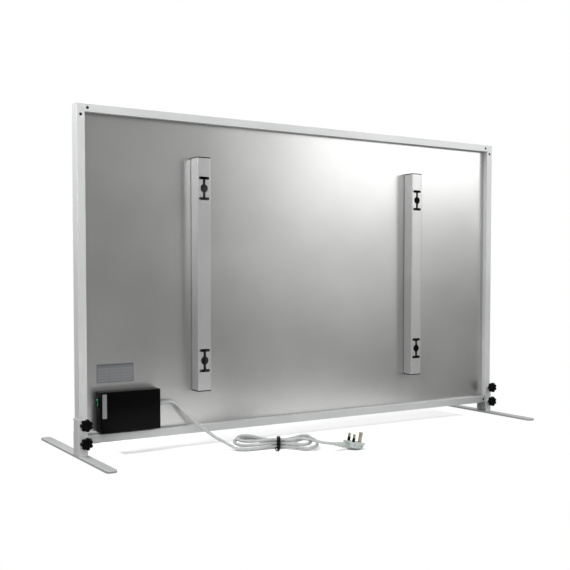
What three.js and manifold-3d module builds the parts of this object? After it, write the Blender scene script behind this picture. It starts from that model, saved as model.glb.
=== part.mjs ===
// Infrared panel heater on two clamp-on feet, with its mains cord tied in a hank behind it.
// Millimetres, +Z up. The radiant face looks along -Y, and the back along +Y.
// The origin is on the floor, midway between the feet and midway along their bars.
import * as THREE from 'three';
import { mergeVertices } from 'three/addons/utils/BufferGeometryUtils.js';
import Module from 'manifold-3d';

const wasm = await Module();
wasm.setup();

// Clearance left between pieces that touch.
const GAP = 0.3;

// Panel frame.
const PANEL_WIDTH = 1200;
const PANEL_HEIGHT = 720;
const PANEL_DEPTH = 30;
const PANEL_BOTTOM = 30;
const PANEL_FRONT_Y = 20;
const PANEL_REAR_Y = PANEL_FRONT_Y + PANEL_DEPTH;
const RAIL_FACE = 18;
const RAIL_WALL = 1.5;
const FRONT_LIP = 8;
const RECESS_DEPTH = 14;
const EDGE_RADIUS = 1;
const CORNER_SCREW_OFFSET = 24;
const CORNER_KEY_ARM = 46;

// The sandwich held in the frame's groove, from the back to the front.
const BACK_PLATE_THICKNESS = 1;
const INSULATION_THICKNESS = 10.4;
const FILM_THICKNESS = 0.8;
const FRONT_PLATE_THICKNESS = 0.8;
const SANDWICH_INSET = 2;

// Upright mounting channels.
const CHANNEL_SPACING = 624;
const CHANNEL_WIDTH = 34;
const CHANNEL_DEPTH = 32;
const CHANNEL_LENGTH = 528;
const CHANNEL_SHEET = 1.5;
const CHANNEL_BASE_LIP = 8;
const CHANNEL_BEND = 2.5;
const END_CAP_FLANGE = 2;
const END_CAP_PLUG = 10;
const KEY_SLOT_FROM_END = 70;
const KEY_HOLE_DIAMETER = 19;
const KEY_SLOT_WIDTH = 6.6;
const KEY_BAR_LENGTH = 26;
const KEY_BAR_OFFSET = 23;

// Control box, its rocker switch and its cord gland.
const BOX_SIZE = { x: 137, y: 31, z: 88 };
const BOX_CENTRE = { x: 489, z: 96 };
const BOX_WALL = 2.2;
const BOX_EDGE = 2;
const SWITCH_Z = 117;
const SWITCH_Y = 46.5;
const ROCKER_TILT = 10 * Math.PI / 180;
const GLAND_Z = 105;
const GLAND_Y = 47;
const STRAIN_RELIEF_LENGTH = 20;
const GLAND_REACH = 3.4;

// Feet.
const BAR = { width: 24, length: 432, thickness: 5, cornerRadius: 10 };
const CLAMP_SHEET = 2.5;
const CLAMP_HEIGHT = 78;
const CLAMP_REACH = 20;
const CLAMP_OUTER_X = PANEL_WIDTH / 2 + 3;
const CLAMP_DEPTH = PANEL_DEPTH + 6;
const KNOB_HEIGHTS = [34, 73];
const KNOB_X = 591;
const KNOB_LOBES = 7;
const KNOB_RADIUS = 13.5;
const KNOB_VALLEY_DEPTH = 3.6;
const KNOB_THICKNESS = 14;
const STUD_RADIUS = 3;
const WELD_NUT_LENGTH = 4.5;

// Mains cord, its hank and its tie.
const CORD_DIAMETER = 7;
const HANK_CENTRE = new THREE.Vector3(187, 171, 0);
const HANK_AXIS = new THREE.Vector3(-0.86, 0.51, 0).normalize();
const HANK_TURNS_START = 0.1;
const HANK_TURNS_END = 2.3;
const HANK_PITCH = 7.7;
const HANK_FLOOR_GAP = 0.7;
const CABLE_TIE_WIDTH = 8;
const CABLE_TIE_ALONG = 6.5;
const CABLE_TIE_FLOOR_GAP = 0.4;
const CABLE_TIE_SIZE = { width: 25, height: 25.6 };

// Three-pin plug, lying on its back with its pins up.
const PLUG_EARTH_BASE = { x: 28.9, y: 273.7 };
const PLUG_TURN = 172.3 * Math.PI / 180;
const PLUG_NOSE_DOWN = 9.9 * Math.PI / 180;
const PIN_SPACING = 22.2;
const PLUG_LENGTH_BEHIND_PINS = 14;
const PLUG_LENGTH_PAST_EARTH = 8.5;
const PLUG_HALF_WIDTH = { atPins: 22.5, towardsNose: 18, atNose: 16 };
const PLUG_BOOT_LENGTH = 25.4;
const PLUG_BOOT_DEPTH = 9.5;
const FUSE_CENTRE_X = 3;

const COLOURS = {
  aluminium: [0xc4c6c5, 0.42, 0.9],
  sheetSteel: [0xb4b6b5, 0.38, 0.85],
  paintedWhite: [0xe8e8e6, 0.5, 0.1],
  insulation: [0xd8c98a, 0.95, 0],
  film: [0x2a2a2c, 0.6, 0],
  blackPlastic: [0x111213, 0.45, 0],
  whitePlastic: [0xd4d6d3, 0.5, 0],
  greenRocker: [0x1f8f5f, 0.25, 0],
  zincSteel: [0xa9abad, 0.35, 0.9],
  brass: [0xb0a488, 0.3, 0.9],
  ceramic: [0xe6e2d6, 0.6, 0],
  dark: [0x1b1c1e, 0.5, 0],
};

function piece(name, geometry, colour) {
  const [hex, roughness, metalness] = COLOURS[colour];
  const material = new THREE.MeshStandardMaterial({ color: hex, roughness, metalness });
  const mesh = new THREE.Mesh(weld(geometry), material);
  mesh.name = name;
  return mesh;
}

// Shares the vertices that coincide, and drops the triangles that this closes up.
function weld(geometry) {
  const bare = geometry.index ? geometry.toNonIndexed() : geometry.clone();
  bare.deleteAttribute('normal');
  bare.deleteAttribute('uv');
  const merged = mergeVertices(bare, 1e-3);
  const corners = merged.index.array;
  const kept = [];
  for (let i = 0; i < corners.length; i += 3) {
    const [a, b, c] = [corners[i], corners[i + 1], corners[i + 2]];
    if (a !== b && b !== c && c !== a) {
      kept.push(a, b, c);
    }
  }
  merged.setIndex(kept);
  return merged;
}

function toSolid(geometry) {
  const welded = weld(geometry);
  const mesh = new wasm.Mesh({
    numProp: 3,
    vertProperties: new Float32Array(welded.attributes.position.array),
    triVerts: new Uint32Array(welded.index.array),
  });
  return new wasm.Manifold(mesh);
}

function toGeometry(solid) {
  const mesh = solid.getMesh();
  const geometry = new THREE.BufferGeometry();
  geometry.setAttribute('position', new THREE.BufferAttribute(new Float32Array(mesh.vertProperties), 3));
  geometry.setIndex(Array.from(mesh.triVerts));
  return geometry;
}

function cut(base, tools) {
  let solid = toSolid(base);
  for (const tool of tools) {
    solid = solid.subtract(toSolid(tool));
  }
  return toGeometry(solid);
}

function join(shapes) {
  let solid = toSolid(shapes[0]);
  for (const shape of shapes.slice(1)) {
    solid = solid.add(toSolid(shape));
  }
  return toGeometry(solid);
}

const AXIS_X = new THREE.Vector3(1, 0, 0);
const AXIS_Y = new THREE.Vector3(0, 1, 0);
const AXIS_Z = new THREE.Vector3(0, 0, 1);

// Drops the points of a loop that repeat the one before, or lie on a straight side.
function tidyLoop(points) {
  const closeness = 1e-3;
  const apart = points.filter((point, i) => {
    const before = points[(i + points.length - 1) % points.length];
    return point.distanceTo(before) > closeness;
  });
  return apart.filter((point, i) => {
    const before = apart[(i + apart.length - 1) % apart.length];
    const after = apart[(i + 1) % apart.length];
    const side = point.clone().sub(before).normalize();
    return Math.abs(side.cross(after.clone().sub(point).normalize())) > closeness;
  });
}

function tidyOutline(outline, curveSegments) {
  const { shape, holes } = outline.extractPoints(curveSegments);
  const tidy = new THREE.Shape(tidyLoop(shape));
  tidy.holes = holes.map((hole) => new THREE.Path(tidyLoop(hole)));
  return tidy;
}

// A prism whose length runs along one axis and is centred on it. Its outline is drawn in
// (Y, Z) for a prism along X, in (X, Z) for one along Y and in (X, Y) for one along Z.
function prism(outline, length, axis, curveSegments = 6) {
  const tidy = tidyOutline(outline, curveSegments);
  const geometry = new THREE.ExtrudeGeometry(tidy, { depth: length, bevelEnabled: false });
  geometry.translate(0, 0, -length / 2);
  const basis = new THREE.Matrix4();
  if (axis === 'x') {
    basis.makeBasis(AXIS_Y, AXIS_Z, AXIS_X);
  }
  if (axis === 'y') {
    basis.makeBasis(AXIS_X, AXIS_Z, AXIS_Y.clone().negate());
  }
  return geometry.applyMatrix4(basis);
}

function box(x, y, z) {
  return new THREE.BoxGeometry(x, y, z);
}

function rod(radius, length, axis, sides = 16) {
  const geometry = new THREE.CylinderGeometry(radius, radius, length, sides);
  if (axis === 'x') {
    geometry.rotateZ(-Math.PI / 2);
  }
  return geometry;
}

// A revolved piece: the profile is a list of [radius, height] pairs along the axis.
function turned(profile, axis, sides = 20) {
  const points = profile.map(([radius, height]) => new THREE.Vector2(radius, height));
  const geometry = new THREE.LatheGeometry(points, sides);
  if (axis === 'x') {
    geometry.rotateZ(-Math.PI / 2);
  }
  return geometry;
}

function roundedRectangle(width, height, radius) {
  const shape = new THREE.Shape();
  const x = width / 2;
  const y = height / 2;
  shape.moveTo(-x + radius, -y);
  shape.lineTo(x - radius, -y);
  shape.absarc(x - radius, -y + radius, radius, -Math.PI / 2, 0);
  shape.lineTo(x, y - radius);
  shape.absarc(x - radius, y - radius, radius, 0, Math.PI / 2);
  shape.lineTo(-x + radius, y);
  shape.absarc(-x + radius, y - radius, radius, Math.PI / 2, Math.PI);
  shape.lineTo(-x, -y + radius);
  shape.absarc(-x + radius, -y + radius, radius, Math.PI, Math.PI * 1.5);
  return shape;
}

// ---------------------------------------------------------------- panel frame

// The rail's section: an outer wall, a chamber at the back, a groove for the sandwich in
// the middle and a lip at the front. Shape x is the depth, y the way inward.
function railSection() {
  const front = PANEL_FRONT_Y;
  const rear = PANEL_REAR_Y;
  const chamber = rear - RECESS_DEPTH;
  const r = EDGE_RADIUS;
  const section = new THREE.Shape();
  section.moveTo(front + r, 0);
  section.lineTo(rear - r, 0);
  section.absarc(rear - r, r, r, -Math.PI / 2, 0);
  section.lineTo(rear, RAIL_FACE - r);
  section.absarc(rear - r, RAIL_FACE - r, r, 0, Math.PI / 2);
  section.lineTo(chamber, RAIL_FACE);
  section.lineTo(chamber, RAIL_WALL);
  section.lineTo(front + RAIL_WALL, RAIL_WALL);
  section.lineTo(front + RAIL_WALL, FRONT_LIP);
  section.lineTo(front, FRONT_LIP);
  section.lineTo(front, r);
  section.absarc(front + r, r, r, Math.PI, Math.PI * 1.5);
  return section;
}

function countersink() {
  const rear = PANEL_REAR_Y;
  const shank = [[0, rear - 3], [2.1, rear - 3], [2.1, rear - 1.5]];
  const seat = [[3.6, rear], [3.6, rear + 1], [0, rear + 1]];
  return turned([...shank, ...seat], 'y', 12);
}

// A hollow rail of this length lies along X with its outer face down. Its ends are mitred.
function mitredRail(length) {
  const geometry = prism(railSection(), length, 'x', 3);
  const position = geometry.attributes.position;
  const mitreGap = 0.2;
  for (let i = 0; i < position.count; i += 1) {
    const end = Math.sign(position.getX(i));
    position.setX(i, end * (length / 2 - mitreGap - position.getZ(i)));
  }
  const hollow = box(length + 2, RECESS_DEPTH - 2 * RAIL_WALL, RAIL_FACE - 2 * RAIL_WALL);
  hollow.translate(0, PANEL_REAR_Y - RECESS_DEPTH / 2, RAIL_FACE / 2);
  const holes = [-1, 1].map((end) => {
    const hole = countersink();
    return hole.translate(end * (length / 2 - CORNER_SCREW_OFFSET), 0, RAIL_FACE / 2);
  });
  return cut(geometry, [hollow, ...holes]);
}

function cornerKeyGeometry() {
  const near = RAIL_WALL + GAP;
  const far = RAIL_FACE - RAIL_WALL - GAP;
  const outline = new THREE.Shape();
  outline.moveTo(near, near);
  outline.lineTo(CORNER_KEY_ARM, near);
  outline.lineTo(CORNER_KEY_ARM, far);
  outline.lineTo(far, far);
  outline.lineTo(far, CORNER_KEY_ARM);
  outline.lineTo(near, CORNER_KEY_ARM);
  outline.closePath();
  const thickness = RECESS_DEPTH - 2 * RAIL_WALL - 2 * GAP;
  const middle = PANEL_REAR_Y - RECESS_DEPTH / 2;
  const key = prism(outline, thickness, 'y').translate(0, middle, 0);
  const screwLine = RAIL_FACE / 2;
  const holes = [[CORNER_SCREW_OFFSET, screwLine], [screwLine, CORNER_SCREW_OFFSET]].map(([x, z]) => (
    rod(1.7, thickness + 2, 'y', 12).translate(x, middle, z)
  ));
  return cut(key, holes);
}

function cornerScrewGeometry() {
  return turned([[0, -9], [1.4, -9], [1.4, -1.9], [2.8, -0.5], [2.8, -0.2], [0, -0.2]], 'y', 12);
}

function buildFrame() {
  const frame = new THREE.Group();
  const middle = PANEL_BOTTOM + PANEL_HEIGHT / 2;
  const halfWidth = PANEL_WIDTH / 2;
  const places = [
    ['frame_rail_bottom', PANEL_WIDTH, 0, PANEL_BOTTOM, 0],
    ['frame_rail_top', PANEL_WIDTH, 0, PANEL_BOTTOM + PANEL_HEIGHT, Math.PI],
    ['frame_rail_left', PANEL_HEIGHT, -halfWidth, middle, Math.PI / 2],
    ['frame_rail_right', PANEL_HEIGHT, halfWidth, middle, -Math.PI / 2],
  ];
  for (const [name, length, x, z, turn] of places) {
    const rail = piece(name, mitredRail(length), 'aluminium');
    rail.position.set(x, 0, z);
    rail.rotation.y = turn;
    frame.add(rail);
  }
  const corners = [
    ['bottom_left', -halfWidth, PANEL_BOTTOM, 0],
    ['top_left', -halfWidth, PANEL_BOTTOM + PANEL_HEIGHT, Math.PI / 2],
    ['top_right', halfWidth, PANEL_BOTTOM + PANEL_HEIGHT, Math.PI],
    ['bottom_right', halfWidth, PANEL_BOTTOM, -Math.PI / 2],
  ];
  for (const [name, x, z, turn] of corners) {
    const corner = new THREE.Group();
    corner.add(piece(`corner_key_${name}`, cornerKeyGeometry(), 'aluminium'));
    const screwLine = RAIL_FACE / 2;
    [[CORNER_SCREW_OFFSET, screwLine], [screwLine, CORNER_SCREW_OFFSET]].forEach(([along, up], i) => {
      const screw = piece(`corner_screw_${name}_${i + 1}`, cornerScrewGeometry(), 'zincSteel');
      screw.position.set(along, PANEL_REAR_Y, up);
      corner.add(screw);
    });
    corner.position.set(x, 0, z);
    corner.rotation.y = turn;
    frame.add(corner);
  }
  return frame;
}

// ------------------------------------------------------------------- sandwich

function buildSandwich() {
  const sandwich = new THREE.Group();
  const inset = 2 * SANDWICH_INSET;
  const layers = [
    ['back_plate', BACK_PLATE_THICKNESS, 'sheetSteel'],
    ['insulation_board', INSULATION_THICKNESS, 'insulation'],
    ['heating_film', FILM_THICKNESS, 'film'],
    ['front_plate', FRONT_PLATE_THICKNESS, 'paintedWhite'],
  ];
  let rear = PANEL_REAR_Y - RECESS_DEPTH;
  for (const [name, thickness, colour] of layers) {
    const layer = piece(name, box(PANEL_WIDTH - inset, thickness, PANEL_HEIGHT - inset), colour);
    rear -= GAP;
    layer.position.set(0, rear - thickness / 2, PANEL_BOTTOM + PANEL_HEIGHT / 2);
    rear -= thickness;
    sandwich.add(layer);
  }
  return sandwich;
}

// ---------------------------------------------------------- mounting channels

// The folded section: a web at the back, two sides, and two lips turned in on the plate.
// Shape x runs across the channel and shape y away from the back plate.
function channelSection() {
  const half = CHANNEL_WIDTH / 2;
  const depth = CHANNEL_DEPTH;
  const sheet = CHANNEL_SHEET;
  const bend = CHANNEL_BEND;
  const inner = bend - sheet;
  const lip = half - CHANNEL_BASE_LIP;
  const section = new THREE.Shape();
  section.moveTo(-lip, 0);
  section.lineTo(-half + bend, 0);
  section.absarc(-half + bend, bend, bend, -Math.PI / 2, -Math.PI, true);
  section.lineTo(-half, depth - bend);
  section.absarc(-half + bend, depth - bend, bend, Math.PI, Math.PI / 2, true);
  section.lineTo(half - bend, depth);
  section.absarc(half - bend, depth - bend, bend, Math.PI / 2, 0, true);
  section.lineTo(half, bend);
  section.absarc(half - bend, bend, bend, 0, -Math.PI / 2, true);
  section.lineTo(lip, 0);
  section.lineTo(lip, sheet);
  section.lineTo(half - bend, sheet);
  section.absarc(half - bend, bend, inner, -Math.PI / 2, 0);
  section.lineTo(half - sheet, depth - bend);
  section.absarc(half - bend, depth - bend, inner, 0, Math.PI / 2);
  section.lineTo(-half + bend, depth - sheet);
  section.absarc(-half + bend, depth - bend, inner, Math.PI / 2, Math.PI);
  section.lineTo(-half + sheet, bend);
  section.absarc(-half + bend, bend, inner, Math.PI, Math.PI * 1.5);
  section.lineTo(-lip, sheet);
  section.closePath();
  return section;
}

// The slot takes a screw head in its round hole, and lets it slide to any of four ends.
function keySlotTool() {
  const through = 4 * CHANNEL_SHEET;
  const bar = roundedRectangle(KEY_BAR_LENGTH, KEY_SLOT_WIDTH, KEY_SLOT_WIDTH / 2 - 0.01);
  return join([
    rod(KEY_HOLE_DIAMETER / 2, through, 'y', 28),
    box(KEY_SLOT_WIDTH, through, 2 * KEY_BAR_OFFSET),
    prism(bar, through, 'y', 4).translate(0, 0, KEY_BAR_OFFSET),
    prism(bar, through, 'y', 4).translate(0, 0, -KEY_BAR_OFFSET),
  ]);
}

function channelGeometry() {
  const length = CHANNEL_LENGTH - 2 * (END_CAP_FLANGE + GAP);
  const channel = prism(channelSection(), length, 'z', 3);
  const slotHeight = CHANNEL_LENGTH / 2 - KEY_SLOT_FROM_END;
  const web = CHANNEL_DEPTH - CHANNEL_SHEET / 2;
  const slots = [-1, 1].map((end) => keySlotTool().translate(0, web, end * slotHeight));
  return cut(channel, slots);
}

// A flange over the channel's end, and a hollow plug inside it. The plug points up.
function endCapGeometry() {
  const middle = CHANNEL_DEPTH / 2;
  const cover = roundedRectangle(CHANNEL_WIDTH, CHANNEL_DEPTH, CHANNEL_BEND);
  const flange = prism(cover, END_CAP_FLANGE, 'z', 3);
  const plugWidth = CHANNEL_WIDTH - 2 * (CHANNEL_SHEET + GAP);
  const plugDepth = CHANNEL_DEPTH - 2 * (CHANNEL_SHEET + GAP);
  const wall = 1.6;
  const plug = prism(roundedRectangle(plugWidth, plugDepth, 1.2), END_CAP_PLUG, 'z', 3);
  const bore = roundedRectangle(plugWidth - 2 * wall, plugDepth - 2 * wall, 1);
  const hollow = prism(bore, END_CAP_PLUG, 'z', 3);
  const lift = END_CAP_PLUG / 2;
  const cap = join([flange.translate(0, 0, -END_CAP_FLANGE / 2), plug.translate(0, 0, lift - 0.5)]);
  return cut(cap, [hollow.translate(0, 0, lift + 0.5)]).translate(0, middle, 0);
}

function buildChannels() {
  const channels = new THREE.Group();
  const base = PANEL_REAR_Y - RECESS_DEPTH;
  for (const [side, sign] of [['left', -1], ['right', 1]]) {
    const channel = new THREE.Group();
    channel.add(piece(`mounting_channel_${side}`, channelGeometry(), 'aluminium'));
    const capHeight = CHANNEL_LENGTH / 2 - END_CAP_FLANGE;
    const bottom = piece(`channel_cap_${side}_bottom`, endCapGeometry(), 'blackPlastic');
    bottom.position.z = -capHeight;
    const top = piece(`channel_cap_${side}_top`, endCapGeometry(), 'blackPlastic');
    top.geometry.rotateY(Math.PI);
    top.position.z = capHeight;
    channel.add(bottom, top);
    channel.position.set(sign * CHANNEL_SPACING / 2, base, PANEL_BOTTOM + PANEL_HEIGHT / 2);
    channels.add(channel);
  }
  return channels;
}

// ---------------------------------------------------------------- control box

const BOX_BASE_Y = PANEL_REAR_Y - RECESS_DEPTH;
const BOX_LEFT_X = BOX_CENTRE.x - BOX_SIZE.x / 2;

// A five-sided moulded shell with softened rear edges, open towards the back plate.
function boxCoverGeometry() {
  const outline = roundedRectangle(BOX_SIZE.x - 2 * BOX_EDGE, BOX_SIZE.z - 2 * BOX_EDGE, 1.5);
  const block = new THREE.ExtrudeGeometry(tidyOutline(outline, 3), {
    depth: BOX_SIZE.y,
    bevelThickness: BOX_EDGE,
    bevelSize: BOX_EDGE,
    bevelSegments: 3,
  });
  const placed = alignBlock(block.rotateX(Math.PI / 2));
  const cavity = box(BOX_SIZE.x - 2 * BOX_WALL, BOX_SIZE.y, BOX_SIZE.z - 2 * BOX_WALL);
  cavity.translate(0, BOX_SIZE.y / 2 - BOX_WALL, 0);
  const front = box(2 * BOX_SIZE.x, BOX_SIZE.y, 2 * BOX_SIZE.z).translate(0, -BOX_SIZE.y / 2, 0);
  const switchHole = box(10, 13.2, 19.4);
  switchHole.translate(BOX_SIZE.x / 2, SWITCH_Y - BOX_BASE_Y, SWITCH_Z - BOX_CENTRE.z);
  const glandHole = rod(4.9, 10, 'x', 20);
  glandHole.translate(-BOX_SIZE.x / 2, GLAND_Y - BOX_BASE_Y, GLAND_Z - BOX_CENTRE.z);
  return cut(placed, [cavity, front, switchHole, glandHole]);
}

// Lays the bevelled block with its far face at the box's depth from the plate.
function alignBlock(block) {
  block.computeBoundingBox();
  const bounds = block.boundingBox;
  const middle = new THREE.Vector3();
  bounds.getCenter(middle);
  return block.translate(-middle.x, BOX_SIZE.y - bounds.max.y, -middle.z);
}

// The tray that the cover closes on, with two pillars and a hole for the film's leads.
function boxBaseGeometry() {
  const width = BOX_SIZE.x - 2 * (BOX_WALL + GAP);
  const height = BOX_SIZE.z - 2 * (BOX_WALL + GAP);
  const floor = prism(roundedRectangle(width, height, 2), 2.4, 'y', 3).translate(0, GAP + 1.2, 0);
  const pillars = [-1, 1].map((side) => rod(4, 8, 'y', 16).translate(side * 40, 6, side * 28));
  const screwHoles = [-1, 1].map((side) => rod(1.9, 30, 'y', 12).translate(side * 40, 10, side * 28));
  const leadHole = rod(4.5, 10, 'y', 16).translate(10, 2, -18);
  return cut(join([floor, ...pillars]), [...screwHoles, leadHole]);
}

function panScrewGeometry() {
  return turned([[0, -9.2], [1.5, -9.2], [1.5, 0.3], [3.2, 0.3], [3.2, 1.2], [2, 2.2], [0, 2.2]], 'y', 14);
}

// Bezel and body of the rocker switch in one moulding, with a pocket for the rocker.
function switchHousingGeometry() {
  const bezel = prism(roundedRectangle(15, 21, 1.5), 1.7, 'x', 3).translate(0.85 + GAP, 0, 0);
  const body = box(15, 12.6, 18.8).translate(-7, 0, 0);
  const pocket = box(12, 11, 17).translate(-2, 0, 0);
  return cut(join([bezel, body]), [pocket]);
}

// The rocker's section: two dished faces that meet over the pivot. Drawn in (X, Z).
function rockerGeometry() {
  const outline = new THREE.Shape();
  outline.moveTo(-2, -7.4);
  outline.lineTo(2.6, -7.6);
  outline.quadraticCurveTo(3.4, -7.5, 3.3, -6.6);
  outline.quadraticCurveTo(1.9, -3, 2.2, 0);
  outline.quadraticCurveTo(1.9, 3, 3.3, 6.6);
  outline.quadraticCurveTo(3.4, 7.5, 2.6, 7.6);
  outline.lineTo(-2, 7.4);
  outline.closePath();
  return prism(outline, 10.3, 'y', 5);
}

function glandGeometry() {
  const reach = BOX_WALL + GLAND_REACH;
  const seat = BOX_WALL + GAP;
  const shank = [[0, -7], [4.6, -7], [4.6, seat]];
  const head = [[6.6, seat], [6.6, reach - 1.4], [5.6, reach], [0, reach]];
  return turned([...shank, ...head], 'x', 20);
}

function strainReliefGeometry() {
  const small = CORD_DIAMETER / 2 + 0.1;
  const ribs = [[0, 0], [4.6, 0]];
  const count = 4;
  for (let i = 0; i < count; i += 1) {
    const along = 3 + i * 4;
    const radius = 4.6 - 0.22 * i;
    ribs.push([radius, along], [radius - 0.5, along + 0.6]);
    ribs.push([radius - 0.5, along + 1.6], [radius - 0.2, along + 2.2]);
  }
  ribs.push([small, STRAIN_RELIEF_LENGTH], [0, STRAIN_RELIEF_LENGTH]);
  return turned(ribs, 'x', 16);
}

function terminalBlockGeometry() {
  const block = box(34, 12, 16);
  const wells = [-1, 0, 1].map((i) => rod(2.2, 8, 'y', 12).translate(i * 10.5, 5, 3));
  const notches = [-0.5, 0.5].map((i) => box(1.6, 8, 20).translate(i * 10.5, 5, 0));
  return cut(block, [...wells, ...notches]);
}

function thermalCutoutGeometry() {
  return turned([[0, 0], [8, 0], [8, 3], [5.5, 3.6], [5.5, 7], [0, 7]], 'y', 20);
}

function buildControlBox() {
  const control = new THREE.Group();
  control.add(piece('box_base', boxBaseGeometry(), 'blackPlastic'));
  control.add(piece('box_cover', boxCoverGeometry(), 'blackPlastic'));
  [-1, 1].forEach((side, i) => {
    const screw = piece(`box_screw_${i + 1}`, panScrewGeometry(), 'zincSteel');
    screw.position.set(side * 40, 10.3, side * 28);
    control.add(screw);
  });
  const terminal = piece('terminal_block', terminalBlockGeometry(), 'whitePlastic');
  terminal.position.set(-18, 9.2, 12);
  const cutout = piece('thermal_cutout', thermalCutoutGeometry(), 'ceramic');
  cutout.position.set(22, 3.2, 2);
  const wallX = BOX_SIZE.x / 2;
  const housing = piece('switch_housing', switchHousingGeometry(), 'dark');
  housing.position.set(wallX, SWITCH_Y - BOX_BASE_Y, SWITCH_Z - BOX_CENTRE.z);
  const rocker = piece('switch_rocker', rockerGeometry(), 'greenRocker');
  rocker.position.set(wallX - 1, SWITCH_Y - BOX_BASE_Y, SWITCH_Z - BOX_CENTRE.z);
  rocker.rotation.y = ROCKER_TILT;
  const gland = piece('gland_body', glandGeometry(), 'blackPlastic');
  gland.rotation.z = Math.PI;
  gland.position.set(-wallX + BOX_WALL, GLAND_Y - BOX_BASE_Y, GLAND_Z - BOX_CENTRE.z);
  const relief = piece('cord_strain_relief', strainReliefGeometry(), 'whitePlastic');
  relief.rotation.z = Math.PI;
  relief.position.set(-wallX - GLAND_REACH - GAP, GLAND_Y - BOX_BASE_Y, GLAND_Z - BOX_CENTRE.z);
  control.add(terminal, cutout, housing, rocker, gland, relief);
  control.position.set(BOX_CENTRE.x, BOX_BASE_Y, BOX_CENTRE.z);
  return control;
}

// ----------------------------------------------------------------------- feet

function footBarGeometry() {
  const outline = roundedRectangle(BAR.width, BAR.length, BAR.cornerRadius);
  return new THREE.ExtrudeGeometry(tidyOutline(outline, 4), {
    depth: BAR.thickness - 2,
    bevelThickness: 1,
    bevelSize: 1,
    bevelOffset: -1,
    bevelSegments: 2,
  }).translate(0, 0, 1);
}

// The clamp is folded from one sheet: a web outside the panel and a flange on each side,
// with rounded upper corners. Two weld nuts on the rear flange carry the knobs' threads.
function clampGeometry() {
  const bottom = BAR.thickness + GAP;
  const height = CLAMP_HEIGHT;
  const inner = CLAMP_DEPTH / 2 - CLAMP_SHEET;
  const middle = (PANEL_FRONT_Y + PANEL_REAR_Y) / 2;
  const bend = 4;
  const section = new THREE.Shape();
  const out = CLAMP_OUTER_X;
  const reach = out - CLAMP_REACH;
  section.moveTo(reach, middle - inner - CLAMP_SHEET);
  section.lineTo(out - bend, middle - inner - CLAMP_SHEET);
  section.absarc(out - bend, middle - inner - CLAMP_SHEET + bend, bend, -Math.PI / 2, 0);
  section.lineTo(out, middle + inner + CLAMP_SHEET - bend);
  section.absarc(out - bend, middle + inner + CLAMP_SHEET - bend, bend, 0, Math.PI / 2);
  section.lineTo(reach, middle + inner + CLAMP_SHEET);
  section.lineTo(reach, middle + inner);
  section.lineTo(out - CLAMP_SHEET, middle + inner);
  section.lineTo(out - CLAMP_SHEET, middle - inner);
  section.lineTo(reach, middle - inner);
  section.closePath();
  const folded = prism(section, height, 'z', 3).translate(0, 0, bottom + height / 2);
  const nutY = middle + inner + CLAMP_SHEET + WELD_NUT_LENGTH / 2 - 0.2;
  const nuts = KNOB_HEIGHTS.map((z) => rod(6, WELD_NUT_LENGTH + 0.4, 'y', 6).translate(KNOB_X, nutY, z));
  const threads = KNOB_HEIGHTS.map((z) => rod(STUD_RADIUS + GAP, 30, 'y', 20).translate(KNOB_X, nutY, z));
  const round = 9;
  const corner = new THREE.Shape();
  corner.moveTo(reach - 1, bottom + height + 1);
  corner.lineTo(reach - 1, bottom + height - round);
  corner.lineTo(reach, bottom + height - round);
  corner.absarc(reach + round, bottom + height - round, round, Math.PI, Math.PI / 2, true);
  corner.lineTo(reach + round, bottom + height + 1);
  corner.closePath();
  const trim = prism(corner, CLAMP_DEPTH + 10, 'y', 6).translate(0, middle, 0);
  return cut(join([folded, ...nuts]), [...threads, trim]);
}

// A lobed star knob on a round collar. It points along +Y from its collar's face.
function knobGeometry() {
  const outline = new THREE.Shape();
  const steps = KNOB_LOBES * 8;
  for (let i = 0; i < steps; i += 1) {
    const angle = i / steps * Math.PI * 2;
    const wave = Math.abs(Math.cos(angle * KNOB_LOBES / 2));
    const radius = KNOB_RADIUS - KNOB_VALLEY_DEPTH * (1 - Math.pow(wave, 0.7));
    const x = radius * Math.cos(angle);
    const y = radius * Math.sin(angle);
    if (i === 0) {
      outline.moveTo(x, y);
    } else {
      outline.lineTo(x, y);
    }
  }
  outline.closePath();
  const collar = 4;
  const head = new THREE.ExtrudeGeometry(tidyOutline(outline, 1), {
    depth: KNOB_THICKNESS - collar - 3,
    bevelThickness: 1.5,
    bevelSize: 1.5,
    bevelOffset: -1.5,
    bevelSegments: 2,
  });
  head.rotateX(-Math.PI / 2).translate(0, collar + 1.5, 0);
  const hub = turned([[0, 0], [6.5, 0], [7, 0.6], [7, collar + 1], [0, collar + 1]], 'y', 20);
  const socket = rod(STUD_RADIUS + 0.15, 14, 'y', 16).translate(0, 3, 0);
  return cut(join([head, hub]), [socket]);
}

// The stud's tip stops just short of the rail's rear face. Its other end is in the knob.
function studGeometry(length) {
  const chamfer = 0.8;
  return turned([
    [0, 0],
    [STUD_RADIUS - chamfer, 0],
    [STUD_RADIUS, chamfer],
    [STUD_RADIUS, length],
    [0, length],
  ], 'y', 16);
}

function buildFoot(side, sign) {
  const foot = new THREE.Group();
  const bar = piece(`foot_bar_${side}`, footBarGeometry(), 'zincSteel');
  bar.position.x = sign * (CLAMP_OUTER_X - BAR.width / 2);
  const clampShape = clampGeometry();
  if (sign < 0) {
    mirrorInX(clampShape);
  }
  foot.add(bar, piece(`foot_clamp_${side}`, clampShape, 'zincSteel'));
  const tip = PANEL_REAR_Y + GAP;
  const collar = PANEL_REAR_Y + 3 + WELD_NUT_LENGTH + 2;
  KNOB_HEIGHTS.forEach((z, i) => {
    const place = ['lower', 'upper'][i];
    const stud = piece(`clamp_stud_${side}_${place}`, studGeometry(collar + 8 - tip), 'zincSteel');
    stud.position.set(sign * KNOB_X, tip, z);
    const knob = piece(`clamp_knob_${side}_${place}`, knobGeometry(), 'blackPlastic');
    knob.position.set(sign * KNOB_X, collar, z);
    foot.add(stud, knob);
  });
  return foot;
}

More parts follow.
